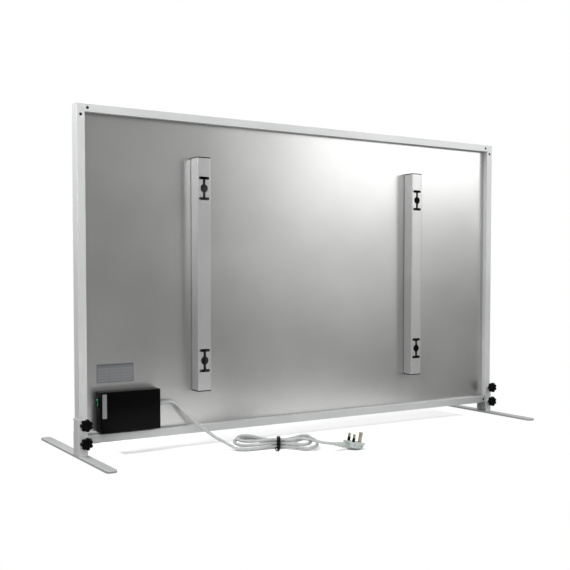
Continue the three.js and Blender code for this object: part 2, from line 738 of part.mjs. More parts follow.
// Mirrors a geometry in X, and turns its triangles round so that they still face out.
function mirrorInX(geometry) {
  geometry.scale(-1, 1, 1);
  const index = geometry.index.array;
  for (let i = 0; i < index.length; i += 3) {
    const swap = index[i + 1];
    index[i + 1] = index[i + 2];
    index[i + 2] = swap;
  }
}

// ----------------------------------------------------------------- mains cord

function smooth(x) {
  const t = THREE.MathUtils.clamp(x, 0, 1);
  return t * t * (3 - 2 * t);
}

// The hank's route, by turns of the cord. Each turn is a long loop, drawn in at the waist
// where the tie holds it. Turns climb by one pitch, and their far runs are lifted.
function hankPoint(turns) {
  const angle = turns * Math.PI * 2;
  const sine = Math.sin(angle);
  const cosine = Math.cos(angle);
  const open = cosine * cosine;
  const halfLength = 100 - 10 * turns;
  const drift = 8 - 3 * turns;
  const rightward = (1 - cosine) / 2;
  const bulge = 108 * (1 - 0.2 * turns) * (1 + 0.2 * rightward);
  const waist = 4.4;
  const along = drift - halfLength * cosine - 8 * open;
  const across = waist * sine + bulge * sine * open * (1 - open / 2) + 2 * open;
  const farSide = Math.pow((1 - sine) / 2, 2);
  const lift = (17.25 + 4.6 * rightward) * smooth(turns * 2) * open * farSide;
  const rise = CORD_DIAMETER / 2 + HANK_FLOOR_GAP + HANK_PITCH * (turns - HANK_TURNS_START);
  const side = new THREE.Vector3(-HANK_AXIS.y, HANK_AXIS.x, 0).negate();
  return HANK_CENTRE.clone()
    .addScaledVector(HANK_AXIS, along)
    .addScaledVector(side, across)
    .add(new THREE.Vector3(0, 0, rise + lift));
}

// One unbroken tube through the points, with flat ends square to the given directions.
function tube(points, startDirection, endDirection, radius, sides) {
  const rings = points.map((point, i) => {
    const before = points[Math.max(i - 1, 0)];
    const after = points[Math.min(i + 1, points.length - 1)];
    const direction = after.clone().sub(before).normalize();
    if (i === 0) {
      direction.copy(startDirection);
    }
    if (i === points.length - 1) {
      direction.copy(endDirection);
    }
    const across = new THREE.Vector3().crossVectors(direction, AXIS_Z).normalize();
    const up = new THREE.Vector3().crossVectors(across, direction).normalize();
    return { point, across, up };
  });
  const position = [];
  for (const { point, across, up } of rings) {
    for (let k = 0; k < sides; k += 1) {
      const angle = (k + 0.5) / sides * Math.PI * 2;
      const corner = point.clone()
        .addScaledVector(across, radius * Math.cos(angle))
        .addScaledVector(up, radius * Math.sin(angle));
      position.push(corner.x, corner.y, corner.z);
    }
  }
  const index = [];
  for (let i = 0; i < rings.length - 1; i += 1) {
    for (let k = 0; k < sides; k += 1) {
      const next = (k + 1) % sides;
      const a = i * sides + k;
      const b = i * sides + next;
      index.push(a, b + sides, b, a, a + sides, b + sides);
    }
  }
  const last = (rings.length - 1) * sides;
  for (let k = 1; k < sides - 1; k += 1) {
    index.push(0, k, k + 1, last, last + k + 1, last + k);
  }
  const geometry = new THREE.BufferGeometry();
  geometry.setAttribute('position', new THREE.Float32BufferAttribute(position, 3));
  geometry.setIndex(index);
  return geometry;
}

function pathLength(points) {
  return points.slice(1).reduce((sum, point, i) => sum + point.distanceTo(points[i]), 0);
}

// The least clear distance between two runs of the hank, measured on its own points.
function leastGap(points, stepsPerTurn, diameter) {
  let least = Infinity;
  for (let i = 0; i < points.length; i += 1) {
    for (let j = i + Math.round(stepsPerTurn / 5); j < points.length; j += 1) {
      least = Math.min(least, points[i].distanceTo(points[j]) - diameter);
    }
  }
  return least;
}

function hankPoints(stepsPerTurn) {
  const turns = HANK_TURNS_END - HANK_TURNS_START;
  const count = Math.round(turns * stepsPerTurn);
  return Array.from({ length: count + 1 }, (_, i) => hankPoint(HANK_TURNS_START + turns * i / count));
}

function hankDirection(turns) {
  const step = 0.001;
  return hankPoint(turns + step).sub(hankPoint(turns - step)).normalize();
}

// A free stretch: a smooth curve through hand-chosen points, swept with a round section.
function cordStretch(points, steps) {
  const curve = new THREE.CatmullRomCurve3(points, false, 'centripetal');
  const route = curve.getSpacedPoints(steps);
  const start = points[1].clone().sub(points[0]).normalize();
  const end = points[points.length - 1].clone().sub(points[points.length - 2]).normalize();
  return tube(route, start, end, CORD_DIAMETER / 2, 10);
}

function cableTieGeometry() {
  const wall = 1.2;
  const { width, height } = CABLE_TIE_SIZE;
  const outer = prism(roundedRectangle(width, height, 5.5), CABLE_TIE_WIDTH, 'x', 5);
  const inner = roundedRectangle(width - 2 * wall, height - 2 * wall, 5.5 - wall);
  const band = cut(outer, [prism(inner, 2 * CABLE_TIE_WIDTH, 'x', 5)]);
  const turn = Math.atan2(HANK_AXIS.y, HANK_AXIS.x);
  const middle = HANK_CENTRE.clone().addScaledVector(HANK_AXIS, CABLE_TIE_ALONG);
  return band.rotateZ(turn).translate(middle.x, middle.y, height / 2 + CABLE_TIE_FLOOR_GAP);
}

// ----------------------------------------------------------------------- plug

// The moulded body with its boot, drawn with the pin face in the plane z = 0, the cord
// leaving along -X and the earth pin towards +X. Rings grow from the face to the belly.
function plugOutline(scale, shift) {
  const outline = new THREE.Shape();
  const back = (2 - PLUG_LENGTH_BEHIND_PINS) * scale + shift;
  const shoulder = 2 * scale + shift;
  const nose = (PIN_SPACING + PLUG_LENGTH_PAST_EARTH) * scale + shift;
  const cheek = nose - 8 * scale;
  const wide = PLUG_HALF_WIDTH.atPins * scale;
  const middle = PLUG_HALF_WIDTH.towardsNose * scale;
  const narrow = PLUG_HALF_WIDTH.atNose * scale;
  outline.moveTo(back, -wide / 2);
  outline.quadraticCurveTo(back + scale, -wide, shoulder, -wide);
  outline.lineTo(cheek, -middle);
  outline.quadraticCurveTo(nose, -narrow, nose, -narrow / 2);
  outline.lineTo(nose, narrow / 2);
  outline.quadraticCurveTo(nose, narrow, cheek, middle);
  outline.lineTo(shoulder, wide);
  outline.quadraticCurveTo(back + scale, wide, back, wide / 2);
  outline.closePath();
  return outline.getPoints(4);
}

// A loft: each ring is a list of [x, y] points at its own height, all of the same count.
function loft(rings) {
  const count = rings[0].points.length - 1;
  const position = [];
  for (const { points, z } of rings) {
    for (let k = 0; k < count; k += 1) {
      position.push(points[k].x, points[k].y, z);
    }
  }
  const index = [];
  for (let i = 0; i < rings.length - 1; i += 1) {
    for (let k = 0; k < count; k += 1) {
      const next = (k + 1) % count;
      const a = i * count + k;
      const b = i * count + next;
      index.push(a, a + count, b + count, a, b + count, b);
    }
  }
  const flat = rings[0].points.slice(0, count);
  const triangles = THREE.ShapeUtils.triangulateShape(flat, []);
  const last = (rings.length - 1) * count;
  for (const [a, b, c] of triangles) {
    index.push(a, b, c, last + a, last + c, last + b);
  }
  const geometry = new THREE.BufferGeometry();
  geometry.setAttribute('position', new THREE.Float32BufferAttribute(position, 3));
  geometry.setIndex(index);
  return geometry;
}

function plugBodyGeometry() {
  const rings = [
    [1, 0, 0],
    [1.02, 0, -1],
    [1.02, 0, -3.5],
    [0.9, 0.6, -4.6],
    [0.86, 1, -9],
    [0.78, 2.2, -12.2],
    [0.6, 4, -14.4],
    [0.42, 6, -15],
  ].map(([scale, shift, z]) => ({ points: plugOutline(scale, shift), z }));
  const body = loft(rings);
  const boot = [[0, 0]];
  const ribs = 4;
  for (let i = 0; i < ribs; i += 1) {
    const along = i * PLUG_BOOT_LENGTH / ribs;
    const radius = 5.2 + 0.8 * i;
    boot.push([radius, along + 0.6], [radius, along + 3.4]);
    boot.push([radius - 1, along + 3.8], [radius - 1, along + 5]);
  }
  const root = PLUG_BOOT_LENGTH + 8;
  boot.push([7, root], [0, root]);
  const bootSolid = turned(boot, 'x', 20);
  bootSolid.translate(-PLUG_LENGTH_BEHIND_PINS - PLUG_BOOT_LENGTH, 0, -PLUG_BOOT_DEPTH);
  const grips = [-1, 1].map((side) => {
    const recess = prism(roundedRectangle(18, 6.4, 1.5), 4, 'y', 3);
    return recess.rotateZ(-side * 0.21).translate(13, side * 18.1, -8.6);
  });
  const sockets = pinPlaces().map(({ x, y, size }) => {
    const depth = 6;
    return box(size[0] + 0.5, size[1] + 0.5, 2 * depth).translate(x, y, 0);
  });
  const fuseBay = box(28, 9, 10).translate(FUSE_CENTRE_X, 0, 0);
  return cut(join([body, bootSolid]), [...grips, ...sockets, fuseBay]);
}

function pinPlaces() {
  return [
    { name: 'pin_earth', x: PIN_SPACING, y: 0, size: [8, 4], length: 22.7 },
    { name: 'pin_line', x: 0, y: -PIN_SPACING / 2, size: [4, 6.35], length: 17.7 },
    { name: 'pin_neutral', x: 0, y: PIN_SPACING / 2, size: [4, 6.35], length: 17.7 },
  ];
}

// A flat-sided pin with a chamfered tip. Its root goes down into the body.
function pinGeometry(size, length) {
  const root = 5.5;
  const chamfer = 1.2;
  const shank = box(size[0], size[1], length + root - chamfer);
  shank.translate(0, 0, (length - root - chamfer) / 2);
  const tip = new THREE.CylinderGeometry(0.5, 1, chamfer, 4, 1);
  tip.rotateX(Math.PI / 2).rotateZ(Math.PI / 4);
  tip.scale(size[0] / Math.SQRT2, size[1] / Math.SQRT2, 1);
  tip.translate(0, 0, length - chamfer / 2);
  return join([shank, tip]);
}

function buildPlug() {
  const plug = new THREE.Group();
  const tilt = new THREE.Group();
  tilt.rotation.y = PLUG_NOSE_DOWN;
  tilt.add(piece('plug_body', plugBodyGeometry(), 'whitePlastic'));
  for (const { name, x, y, size, length } of pinPlaces()) {
    const pin = piece(name, pinGeometry(size, length), 'brass');
    pin.position.set(x, y, 0);
    tilt.add(pin);
  }
  const fuse = piece('fuse_carrier', box(27.4, 8.4, 4.6), 'whitePlastic');
  fuse.position.set(FUSE_CENTRE_X, 0, -2.3);
  tilt.add(fuse);
  plug.add(tilt);
  plug.rotation.z = PLUG_TURN;
  const earth = new THREE.Vector3(PIN_SPACING * Math.cos(PLUG_NOSE_DOWN), 0, 0);
  earth.applyAxisAngle(AXIS_Z, PLUG_TURN);
  plug.position.set(PLUG_EARTH_BASE.x - earth.x, PLUG_EARTH_BASE.y - earth.y, 0);
  plug.updateMatrixWorld(true);
  const lowest = new THREE.Box3().setFromObject(plug, true).min.z;
  plug.position.z = -lowest + 0.01;
  plug.updateMatrixWorld(true);
  return plug;
}

function buildCord(plug) {
  const cord = new THREE.Group();
  const reliefEnd = BOX_LEFT_X - GLAND_REACH - STRAIN_RELIEF_LENGTH;
  const exit = new THREE.Vector3(reliefEnd - 2 * GAP, GLAND_Y, GLAND_Z);
  const hankStart = hankPoint(HANK_TURNS_START);
  const startDirection = hankDirection(HANK_TURNS_START);
  const hankEnd = hankPoint(HANK_TURNS_END);
  const endDirection = hankDirection(HANK_TURNS_END);
  const run = [
    exit,
    exit.clone().add(new THREE.Vector3(-CORD_DIAMETER, 0, 0)),
    new THREE.Vector3(377, 48, 100.5),
    new THREE.Vector3(364, 51, 88.5),
    new THREE.Vector3(349, 58, 71),
    new THREE.Vector3(328.5, 67, 50),
    new THREE.Vector3(307, 78, 33),
    new THREE.Vector3(300, 97, 24),
    new THREE.Vector3(292, 123, 17),
    new THREE.Vector3(283.5, 141, 10),
    hankStart.clone().addScaledVector(startDirection, -CORD_DIAMETER),
    hankStart.clone().addScaledVector(startDirection, -GAP),
  ];
  cord.add(piece('cord_run', cordStretch(run, 30), 'whitePlastic'));
  const loops = tube(hankPoints(24), startDirection, endDirection, CORD_DIAMETER / 2, 6);
  cord.add(piece('cord_hank', loops, 'whitePlastic'));
  const boot = new THREE.Vector3(-PLUG_LENGTH_BEHIND_PINS - PLUG_BOOT_LENGTH - GAP, 0, -PLUG_BOOT_DEPTH);
  plug.children[0].localToWorld(boot);
  const intoBoot = new THREE.Vector3(1, 0, 0);
  intoBoot.applyAxisAngle(AXIS_Y, PLUG_NOSE_DOWN).applyAxisAngle(AXIS_Z, PLUG_TURN);
  const tail = [
    hankEnd.clone().addScaledVector(endDirection, GAP),
    hankEnd.clone().addScaledVector(endDirection, CORD_DIAMETER),
    new THREE.Vector3(151, 212, 24.6),
    new THREE.Vector3(136, 231, 24.2),
    new THREE.Vector3(116.5, 255.5, 19.6),
    boot.clone().addScaledVector(intoBoot, -CORD_DIAMETER),
    boot,
  ];
  cord.add(piece('cord_tail', cordStretch(tail, 14), 'whitePlastic'));
  cord.add(piece('cable_tie', cableTieGeometry(), 'blackPlastic'));
  const fine = hankPoints(240);
  const wound = pathLength(fine);
  const total = pathLength(run) + wound + pathLength(tail);
  console.log(`cord length ${total.toFixed(0)} mm, of which hank ${wound.toFixed(0)} mm`);
  console.log(`least gap of the hank to itself ${leastGap(fine, 240, CORD_DIAMETER).toFixed(2)} mm`);
  return cord;
}

const heater = new THREE.Group();
const plug = buildPlug();
heater.add(buildFrame(), buildSandwich(), buildChannels(), buildControlBox());
heater.add(buildFoot('left', -1), buildFoot('right', 1));
heater.add(buildCord(plug), plug);

export default heater;
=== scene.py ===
"""An infrared panel heater seen from behind: a mitred metal frame on two clamp-on feet, with
wall channels, a control box and a tied mains cord. Metres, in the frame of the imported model."""
import math

import bmesh
import bpy
from mathutils import Matrix, Vector


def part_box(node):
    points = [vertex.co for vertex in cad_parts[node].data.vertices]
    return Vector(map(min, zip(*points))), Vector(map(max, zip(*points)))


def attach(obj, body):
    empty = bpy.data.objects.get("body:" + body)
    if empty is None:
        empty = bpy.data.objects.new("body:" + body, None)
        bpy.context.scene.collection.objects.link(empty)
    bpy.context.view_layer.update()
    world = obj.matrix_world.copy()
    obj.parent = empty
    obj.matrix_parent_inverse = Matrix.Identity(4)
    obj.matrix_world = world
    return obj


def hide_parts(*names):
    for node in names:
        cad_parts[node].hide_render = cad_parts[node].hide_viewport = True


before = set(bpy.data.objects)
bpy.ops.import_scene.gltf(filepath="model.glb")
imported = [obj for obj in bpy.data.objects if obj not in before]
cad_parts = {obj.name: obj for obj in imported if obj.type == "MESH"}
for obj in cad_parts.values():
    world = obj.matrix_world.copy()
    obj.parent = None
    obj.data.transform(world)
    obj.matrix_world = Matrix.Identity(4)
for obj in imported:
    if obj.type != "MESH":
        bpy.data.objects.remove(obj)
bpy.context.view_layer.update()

# ---------------------------------------------------------------- camera
# The photograph is taken from behind the panel, from beyond its box end and a little above
# the control box, with a long lens whose frame is shifted so that uprights stay upright.
camera_place = Vector((1.2368, 1.8706, 0.3935))
look_turn = math.radians(32.304)
look_down = math.radians(2.309)
focal_pixels = 894.15
image_pixels = 570
looks_at = Vector((
    -math.sin(look_turn) * math.cos(look_down),
    -math.cos(look_turn) * math.cos(look_down),
    -math.sin(look_down),
))
lens = bpy.data.cameras.new("camera")
lens.sensor_width = 36
lens.lens = focal_pixels / image_pixels * lens.sensor_width
lens.shift_y = 0.0426
camera = bpy.data.objects.new("camera", lens)
camera.location = camera_place
camera.rotation_euler = looks_at.to_track_quat("-Z", "Y").to_euler()
bpy.context.collection.objects.link(camera)
bpy.context.scene.camera = camera


# ---------------------------------------------------------------- mains cord
# One round cord of 7 mm with a matt white PVC sheath. It slopes down from the gland, is
# folded into a hank of a little over two long loops, and runs on into the plug's boot.
def linear(code):
    """An sRGB hex value as the linear colour that a shader takes."""
    parts = [int(code[i:i + 2], 16) / 255 for i in (1, 3, 5)]
    return (*(c / 12.92 if c <= 0.04045 else ((c + 0.055) / 1.055) ** 2.4 for c in parts), 1.0)


def add_node(tree, kind, inputs, **settings):
    """Adds a node. An input is given a value, or linked where it is given an output."""
    node = tree.nodes.new(kind)
    for name, value in settings.items():
        setattr(node, name, value)
    for name, value in inputs.items():
        if isinstance(value, bpy.types.NodeSocket):
            tree.links.new(value, node.inputs[name])
        else:
            node.inputs[name].default_value = value
    return node


def new_finish(name, **shader_values):
    """A new material: its node tree, its shader and its Object coordinates."""
    material = bpy.data.materials.new(name)
    material.use_nodes = True
    tree = material.node_tree
    shader = tree.nodes["Principled BSDF"]
    for socket, value in shader_values.items():
        shader.inputs[socket.replace("_", " ")].default_value = value
    place = tree.nodes.new("ShaderNodeTexCoord").outputs["Object"]
    return material, tree, shader, place


def two_tone(tree, shader, factor, low, high, dark, light):
    """The base colour runs from dark to light as factor goes from low to high."""
    ramp = add_node(tree, "ShaderNodeValToRGB", {"Fac": factor})
    ramp.color_ramp.elements[0].position = low
    ramp.color_ramp.elements[1].position = high
    ramp.color_ramp.elements[0].color = linear(dark)
    ramp.color_ramp.elements[1].color = linear(light)
    tree.links.new(ramp.outputs["Color"], shader.inputs["Base Color"])


def set_range(tree, socket, factor, low, high):
    """A shader's socket runs from low to high with a factor from 0 to 1."""
    spread = add_node(tree, "ShaderNodeMapRange", {"Value": factor, "To Min": low, "To Max": high})
    tree.links.new(spread.outputs["Result"], socket)


def raise_surface(tree, shader, height, depth):
    """A bump of this depth in metres."""
    bump = add_node(tree, "ShaderNodeBump", {"Height": height, "Distance": depth, "Strength": 1.0})
    tree.links.new(bump.outputs["Normal"], shader.inputs["Normal"])


# Soft PVC sheath, extruded: even, matt, with faint smears from handling and a fine drag
# grain of about 0.4 mm that only takes the edge off its highlight.
def make_soft_vinyl(name, dark, light, roughness):
    material, tree, shader, place = new_finish(name, IOR=1.53)
    smears = add_node(tree, "ShaderNodeTexNoise", {"Vector": place, "Scale": 40.0, "Detail": 3.0})
    two_tone(tree, shader, smears.outputs["Fac"], 0.35, 0.7, dark, light)
    rougher, smoother = roughness + 0.08, roughness - 0.08
    set_range(tree, shader.inputs["Roughness"], smears.outputs["Fac"], smoother, rougher)
    grain = add_node(tree, "ShaderNodeTexNoise", {"Vector": place, "Scale": 2500.0, "Detail": 1.0})
    raise_surface(tree, shader, grain.outputs["Fac"], 0.00004)
    return material


# The cord's own sheath: dull, so its upper side shows a broad soft light and no glint.
white_sheath = make_soft_vinyl("white PVC cord sheath", "#888a8a", "#999b9b", 0.5)


def catmull_rom(points, steps):
    """A smooth centripetal curve through all the points, with this many steps a span."""
    chain = [2 * points[0] - points[1], *points, 2 * points[-1] - points[-2]]
    route = []
    for a, b, c, d in zip(chain, chain[1:], chain[2:], chain[3:]):
        knots = [0.0]
        for p, q in ((a, b), (b, c), (c, d)):
            knots.append(knots[-1] + math.sqrt((q - p).length))
        for i in range(steps):
            t = knots[1] + (knots[2] - knots[1]) * i / steps
            ab = a.lerp(b, t / knots[1])
            bc = b.lerp(c, (t - knots[1]) / (knots[2] - knots[1]))
            cd = c.lerp(d, (t - knots[2]) / (knots[3] - knots[2]))
            abc = ab.lerp(bc, t / knots[2])
            bcd = bc.lerp(cd, (t - knots[1]) / (knots[3] - knots[1]))
            route.append(abc.lerp(bcd, (t - knots[1]) / (knots[2] - knots[1])))
    return route + [points[-1]]


def ease(x):
    """Runs smoothly from 0 to 1 as x does, and stays there beyond."""
    t = min(max(x, 0.0), 1.0)
    return t * t * (3 - 2 * t)


cord_diameter = 0.007
hank_centre = Vector((0.187, 0.171, 0))
hank_axis = Vector((-0.86, 0.51, 0)).normalized()
hank_side = Vector((hank_axis.y, -hank_axis.x, 0))
hank_first_turn = 0.1
hank_last_turn = 2.3
hank_half_length = 0.100
hank_shorter_per_turn = 0.010
hank_offset = 0.008
hank_drift_per_turn = 0.003
hank_fold_tuck = 0.008
hank_bulge = 0.108
slimmer_per_turn = 0.2
right_loop_wider = 0.2
waist_half_width = 0.0044
fold_sideways = 0.002
crossing_lift = 0.01725
right_crossing_lift = 0.0046
hank_climb = 0.0077
hank_floor_gap = 0.0007


def hank_point(turns):
    """A point of the hank. Each turn is a long loop, drawn in at its waist by the tie."""
    sine = math.sin(turns * 2 * math.pi)
    cosine = math.cos(turns * 2 * math.pi)
    opening = cosine * cosine
    rightward = (1 - cosine) / 2
    reach = hank_half_length - hank_shorter_per_turn * turns
    along = hank_offset - hank_drift_per_turn * turns - reach * cosine - hank_fold_tuck * opening
    slimmer = 1 - slimmer_per_turn * turns
    wider = 1 + right_loop_wider * rightward
    bulge = hank_bulge * slimmer * wider * (1 - opening / 2)
    across = waist_half_width * sine + bulge * sine * opening + fold_sideways * opening
    far_side = ((1 - sine) / 2) ** 2
    lift = (crossing_lift + right_crossing_lift * rightward) * ease(turns * 2) * opening * far_side
    height = cord_diameter / 2 + hank_floor_gap + hank_climb * (turns - hank_first_turn) + lift
    return hank_centre + hank_axis * along + hank_side * across + Vector((0, 0, height))


def hank_direction(turns):
    """The way that the cord runs at this point of the hank."""
    step = 0.001
    return (hank_point(turns + step) - hank_point(turns - step)).normalized()


# The cord comes out of the strain relief, and its far end is pinched in the plug's boot.
boot_mouth = -0.0394
boot_depth = 0.0095
cord_exit = Vector((0.3965, 0.047, 0.105))
plug_turn = Matrix.Rotation(math.radians(172.3), 4, "Z")
plug_tilt = Matrix.Rotation(math.radians(9.9), 4, "Y")
plug_frame = Matrix.Translation((0.050572, 0.270770, 0.01805)) @ plug_turn @ plug_tilt
boot_end = plug_frame @ Vector((boot_mouth - 0.0003, 0, -boot_depth))
into_boot = (plug_turn @ plug_tilt).to_3x3() @ Vector((1, 0, 0))
hank_start = hank_point(hank_first_turn)
hank_end = hank_point(hank_last_turn)
into_hank = hank_direction(hank_first_turn)
out_of_hank = hank_direction(hank_last_turn)
joint_gap = 0.0003
span_steps = 8
run_points = [
    cord_exit,
    Vector((0.3895, 0.047, 0.105)),
    Vector((0.377, 0.048, 0.1005)),
    Vector((0.364, 0.051, 0.0885)),
    Vector((0.349, 0.058, 0.071)),
    Vector((0.3285, 0.067, 0.050)),
    Vector((0.307, 0.078, 0.033)),
    Vector((0.300, 0.097, 0.024)),
    Vector((0.292, 0.123, 0.017)),
    Vector((0.2835, 0.141, 0.010)),
    hank_start - into_hank * cord_diameter,
    hank_start - into_hank * joint_gap,
]
tail_points = [
    hank_end + out_of_hank * joint_gap,
    hank_end + out_of_hank * cord_diameter,
    Vector((0.151, 0.212, 0.0246)),
    Vector((0.136, 0.231, 0.0242)),
    Vector((0.1165, 0.2555, 0.0196)),
    boot_end - into_boot * cord_diameter,
    boot_end,
]
hank_steps = 240
hank_turns = hank_last_turn - hank_first_turn
hank_route = [
    hank_point(hank_first_turn + hank_turns * i / hank_steps) for i in range(hank_steps + 1)
]
run_route = catmull_rom(run_points, span_steps)
tail_route = catmull_rom(tail_points, span_steps)
cord_route = run_route + hank_route + tail_route
line = bpy.data.curves.new("mains_cord", "CURVE")
line.dimensions = "3D"
line.bevel_depth = cord_diameter / 2
line.bevel_resolution = 6
line.use_fill_caps = True
spline = line.splines.new("POLY")
spline.points.add(len(cord_route) - 1)
for point, at in zip(spline.points, cord_route):
    point.co = (*at, 1.0)
spline.use_smooth = True
line.materials.append(white_sheath)
cord = bpy.data.objects.new("mains_cord", line)
bpy.context.collection.objects.link(cord)
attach(cord, "panel")
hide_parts("cord_run", "cord_hank", "cord_tail")

# ---------------------------------------------------------------- mains plug
# A moulded three-pin plug that lies on its back with its pins up: soft grey-white vinyl over
# a stiff core, a ribbed boot in the same moulding, and a fuse drawer between the pins.
def alone(piece):
    """Only this piece is selected and active."""
    bpy.ops.object.select_all(action="DESELECT")
    piece.select_set(True)
    bpy.context.view_layer.objects.active = piece


def primitive(name, kind, **settings):
    """A primitive, added alone at its size and place, which are taken into its mesh."""
    bpy.ops.object.select_all(action="DESELECT")
    getattr(bpy.ops.mesh, f"primitive_{kind}_add")(**settings)
    piece = bpy.context.object
    piece.name = name
    bpy.ops.object.transform_apply(location=True, rotation=True, scale=True)
    return piece


def block(name, low, high):
    """A cube primitive brought to these lowest and highest corners."""
    low, high = Vector(low), Vector(high)
    return primitive(name, "cube", size=1, location=(low + high) / 2, scale=high - low)


def shape(piece, what, test, *moves):
    """Selects the faces, edges or vertices that pass a test of their middle and direction,
    and makes the moves on them in edit mode, each an operator with its settings."""
    alone(piece)
    bpy.ops.object.mode_set(mode="EDIT")
    bpy.ops.mesh.select_mode(type=what)
    bpy.ops.mesh.select_all(action="DESELECT")
    work = bmesh.from_edit_mesh(piece.data)
    for part in {"FACE": work.faces, "EDGE": work.edges, "VERT": work.verts}[what]:
        if what == "FACE":
            middle, direction = part.calc_center_median(), part.normal
        elif what == "EDGE":
            start, end = (v.co for v in part.verts)
            middle, direction = (start + end) / 2, (end - start).normalized()
        else:
            middle, direction = part.co, part.normal
        part.select_set(bool(test(middle, direction)))
    work.select_flush_mode()
    bmesh.update_edit_mesh(piece.data)
    for operator, settings in moves:
        operator(**settings)
    bpy.ops.object.mode_set(mode="OBJECT")


def extrude(move, **more):
    """The extrude operator and the way it goes, for shape()."""
    return bpy.ops.mesh.extrude_region_move, {"TRANSFORM_OT_translate": {"value": move}, **more}


def inset(thickness):
    """The inset operator, for shape()."""
    return bpy.ops.mesh.inset, {"thickness": thickness}


def scale_by(x, y, z):
    """The resize operator, about the middle of what is selected."""
    return bpy.ops.transform.resize, {"value": (x, y, z)}


def move_by(x, y, z):
    """The move operator, in metres."""
    return bpy.ops.transform.translate, {"value": (x, y, z)}


def round_edges(width, segments):
    """The bevel operator on edges."""
    return bpy.ops.mesh.bevel, {"offset": width, "segments": segments, "affect": "EDGES"}


def finish_with(piece, kind, **settings):
    """Adds a modifier and applies it."""
    alone(piece)
    modifier = piece.modifiers.new(kind, kind)
    for name, value in settings.items():
        setattr(modifier, name, value)
    bpy.ops.object.modifier_apply(modifier=modifier.name)


def soften(piece, width, segments, sharper_than):
    """Rounds the edges that are sharper than this angle in degrees."""
    finish_with(
        piece, "BEVEL", width=width, segments=segments, limit_method="ANGLE",
        angle_limit=math.radians(sharper_than),
    )


def carve(piece, tool, operation="DIFFERENCE"):
    """Cuts a tool out of a piece, or joins it on, and removes the tool."""
    finish_with(piece, "BOOLEAN", object=tool, operation=operation, solver="EXACT")
    bpy.data.objects.remove(tool)


def settle(piece, smooth_below):
    """Faces point outwards, and edges flatter than this angle in degrees are smooth."""
    turn_outwards = bpy.ops.mesh.normals_make_consistent, {"inside": False}
    shape(piece, "FACE", lambda at, out: True, turn_outwards)
    alone(piece)
    bpy.ops.object.shade_smooth_by_angle(angle=math.radians(smooth_below))


def fit(piece, material, slot, body, *replaced):
    """Gives a finished piece its material, its body and what it stands for. The slot is not used.
    """
    piece.data.materials.clear()
    piece.data.materials.append(material)
    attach(piece, body)
    if replaced:
        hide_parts(*replaced)
    return piece


along_x = (0, math.pi / 2, 0)
along_y = (math.pi / 2, 0, 0)

# Soft vinyl again, smoother from a polished mould, so edges catch a narrow light.
plug_vinyl = make_soft_vinyl("soft moulded PVC plug", "#909693", "#a1a7a3", 0.42)
plug_nose = 0.0307
plug_shoulder = 0.002
plug_tail = -0.012
plug_half_width = 0.0225
plug_rim = 0.0035
nose_share = 0.72
tail_share = 0.96
tail_corner_radius = 0.0105
nose_corner_radius = 0.0075
plug_body = block(
    "plug_moulding", (plug_shoulder, -plug_half_width, -plug_rim), (plug_nose, plug_half_width, 0)
)
shape(plug_body, "FACE", lambda at, out: out.x > 0.9, scale_by(1, nose_share, 1))
shape(
    plug_body, "FACE", lambda at, out: out.x < -0.9,
    extrude((plug_tail - plug_shoulder, 0, 0)), scale_by(1, tail_share, 1),
)
shape(
    plug_body, "EDGE", lambda at, way: abs(way.z) > 0.9 and at.x < -0.01,
    round_edges(tail_corner_radius, 7),
)
shape(
    plug_body, "EDGE", lambda at, way: abs(way.z) > 0.9 and at.x > 0.03,
    round_edges(nose_corner_radius, 7),
)
# The belly goes down in steps: how deep each is, and the share of its size that is left.
belly_steps = ((0.0012, 0.9), (0.0042, 0.955), (0.0032, 0.905), (0.0020, 0.77), (0.0006, 0.7))
for drop, share in belly_steps:
    shape(
        plug_body, "FACE", lambda at, out: out.z < -0.9,
        extrude((0, 0, -drop)), scale_by(share, share, 1),
    )
soften(plug_body, 0.0009, 3, 38)

# The boot is a stem with four ribs, and each rib has a sloped flank, a top and a groove.
rib_radii = (0.0048, 0.0054, 0.0060, 0.0066, 0.0060)
groove_depth = 0.001
boot_root = 0.008
boot_radius = 0.0042
boot_lip = 0.0006
boot = primitive(
    "boot", "cylinder", vertices=32, radius=boot_radius, depth=boot_lip,
    location=(boot_mouth + boot_lip / 2, 0, -boot_depth), rotation=along_x,
)
for rib, radius in enumerate(rib_radii[:-1]):
    groove_radius = radius - groove_depth
    for step, size in (
        (0.0004, radius), (0.0028, radius), (0.0005, groove_radius),
        (0.0022, groove_radius), (0.00045, rib_radii[rib + 1]),
    ):
        change = size / boot_radius
        shape(
            boot, "FACE", lambda at, out: out.x > 0.9,
            extrude((step, 0, 0)), scale_by(1, change, change),
        )
        boot_radius = size
shape(boot, "FACE", lambda at, out: out.x > 0.9, extrude((boot_root, 0, 0)))
soften(boot, 0.00025, 2, 40)
carve(plug_body, boot, "UNION")

# A finger grip is sunk in each side, along its taper.
grip_turn = 0.21
for side in (-1, 1):
    grip = primitive(
        "grip", "cube", size=1, location=(0.013, side * 0.0174, -0.0086),
        rotation=(0, 0, -side * grip_turn), scale=(0.018, 0.004, 0.0064),
    )
    shape(grip, "EDGE", lambda at, way: abs(way.y) > 0.9, round_edges(0.0015, 4))
    carve(plug_body, grip)
fuse_bay = block("fuse bay", (-0.011, -0.0045, -0.005), (0.017, 0.0045, 0.005))
carve(plug_body, fuse_bay)
settle(plug_body, 35)
plug_body.data.transform(plug_frame)
fit(plug_body, plug_vinyl, "plug_white", "panel", "plug_body")

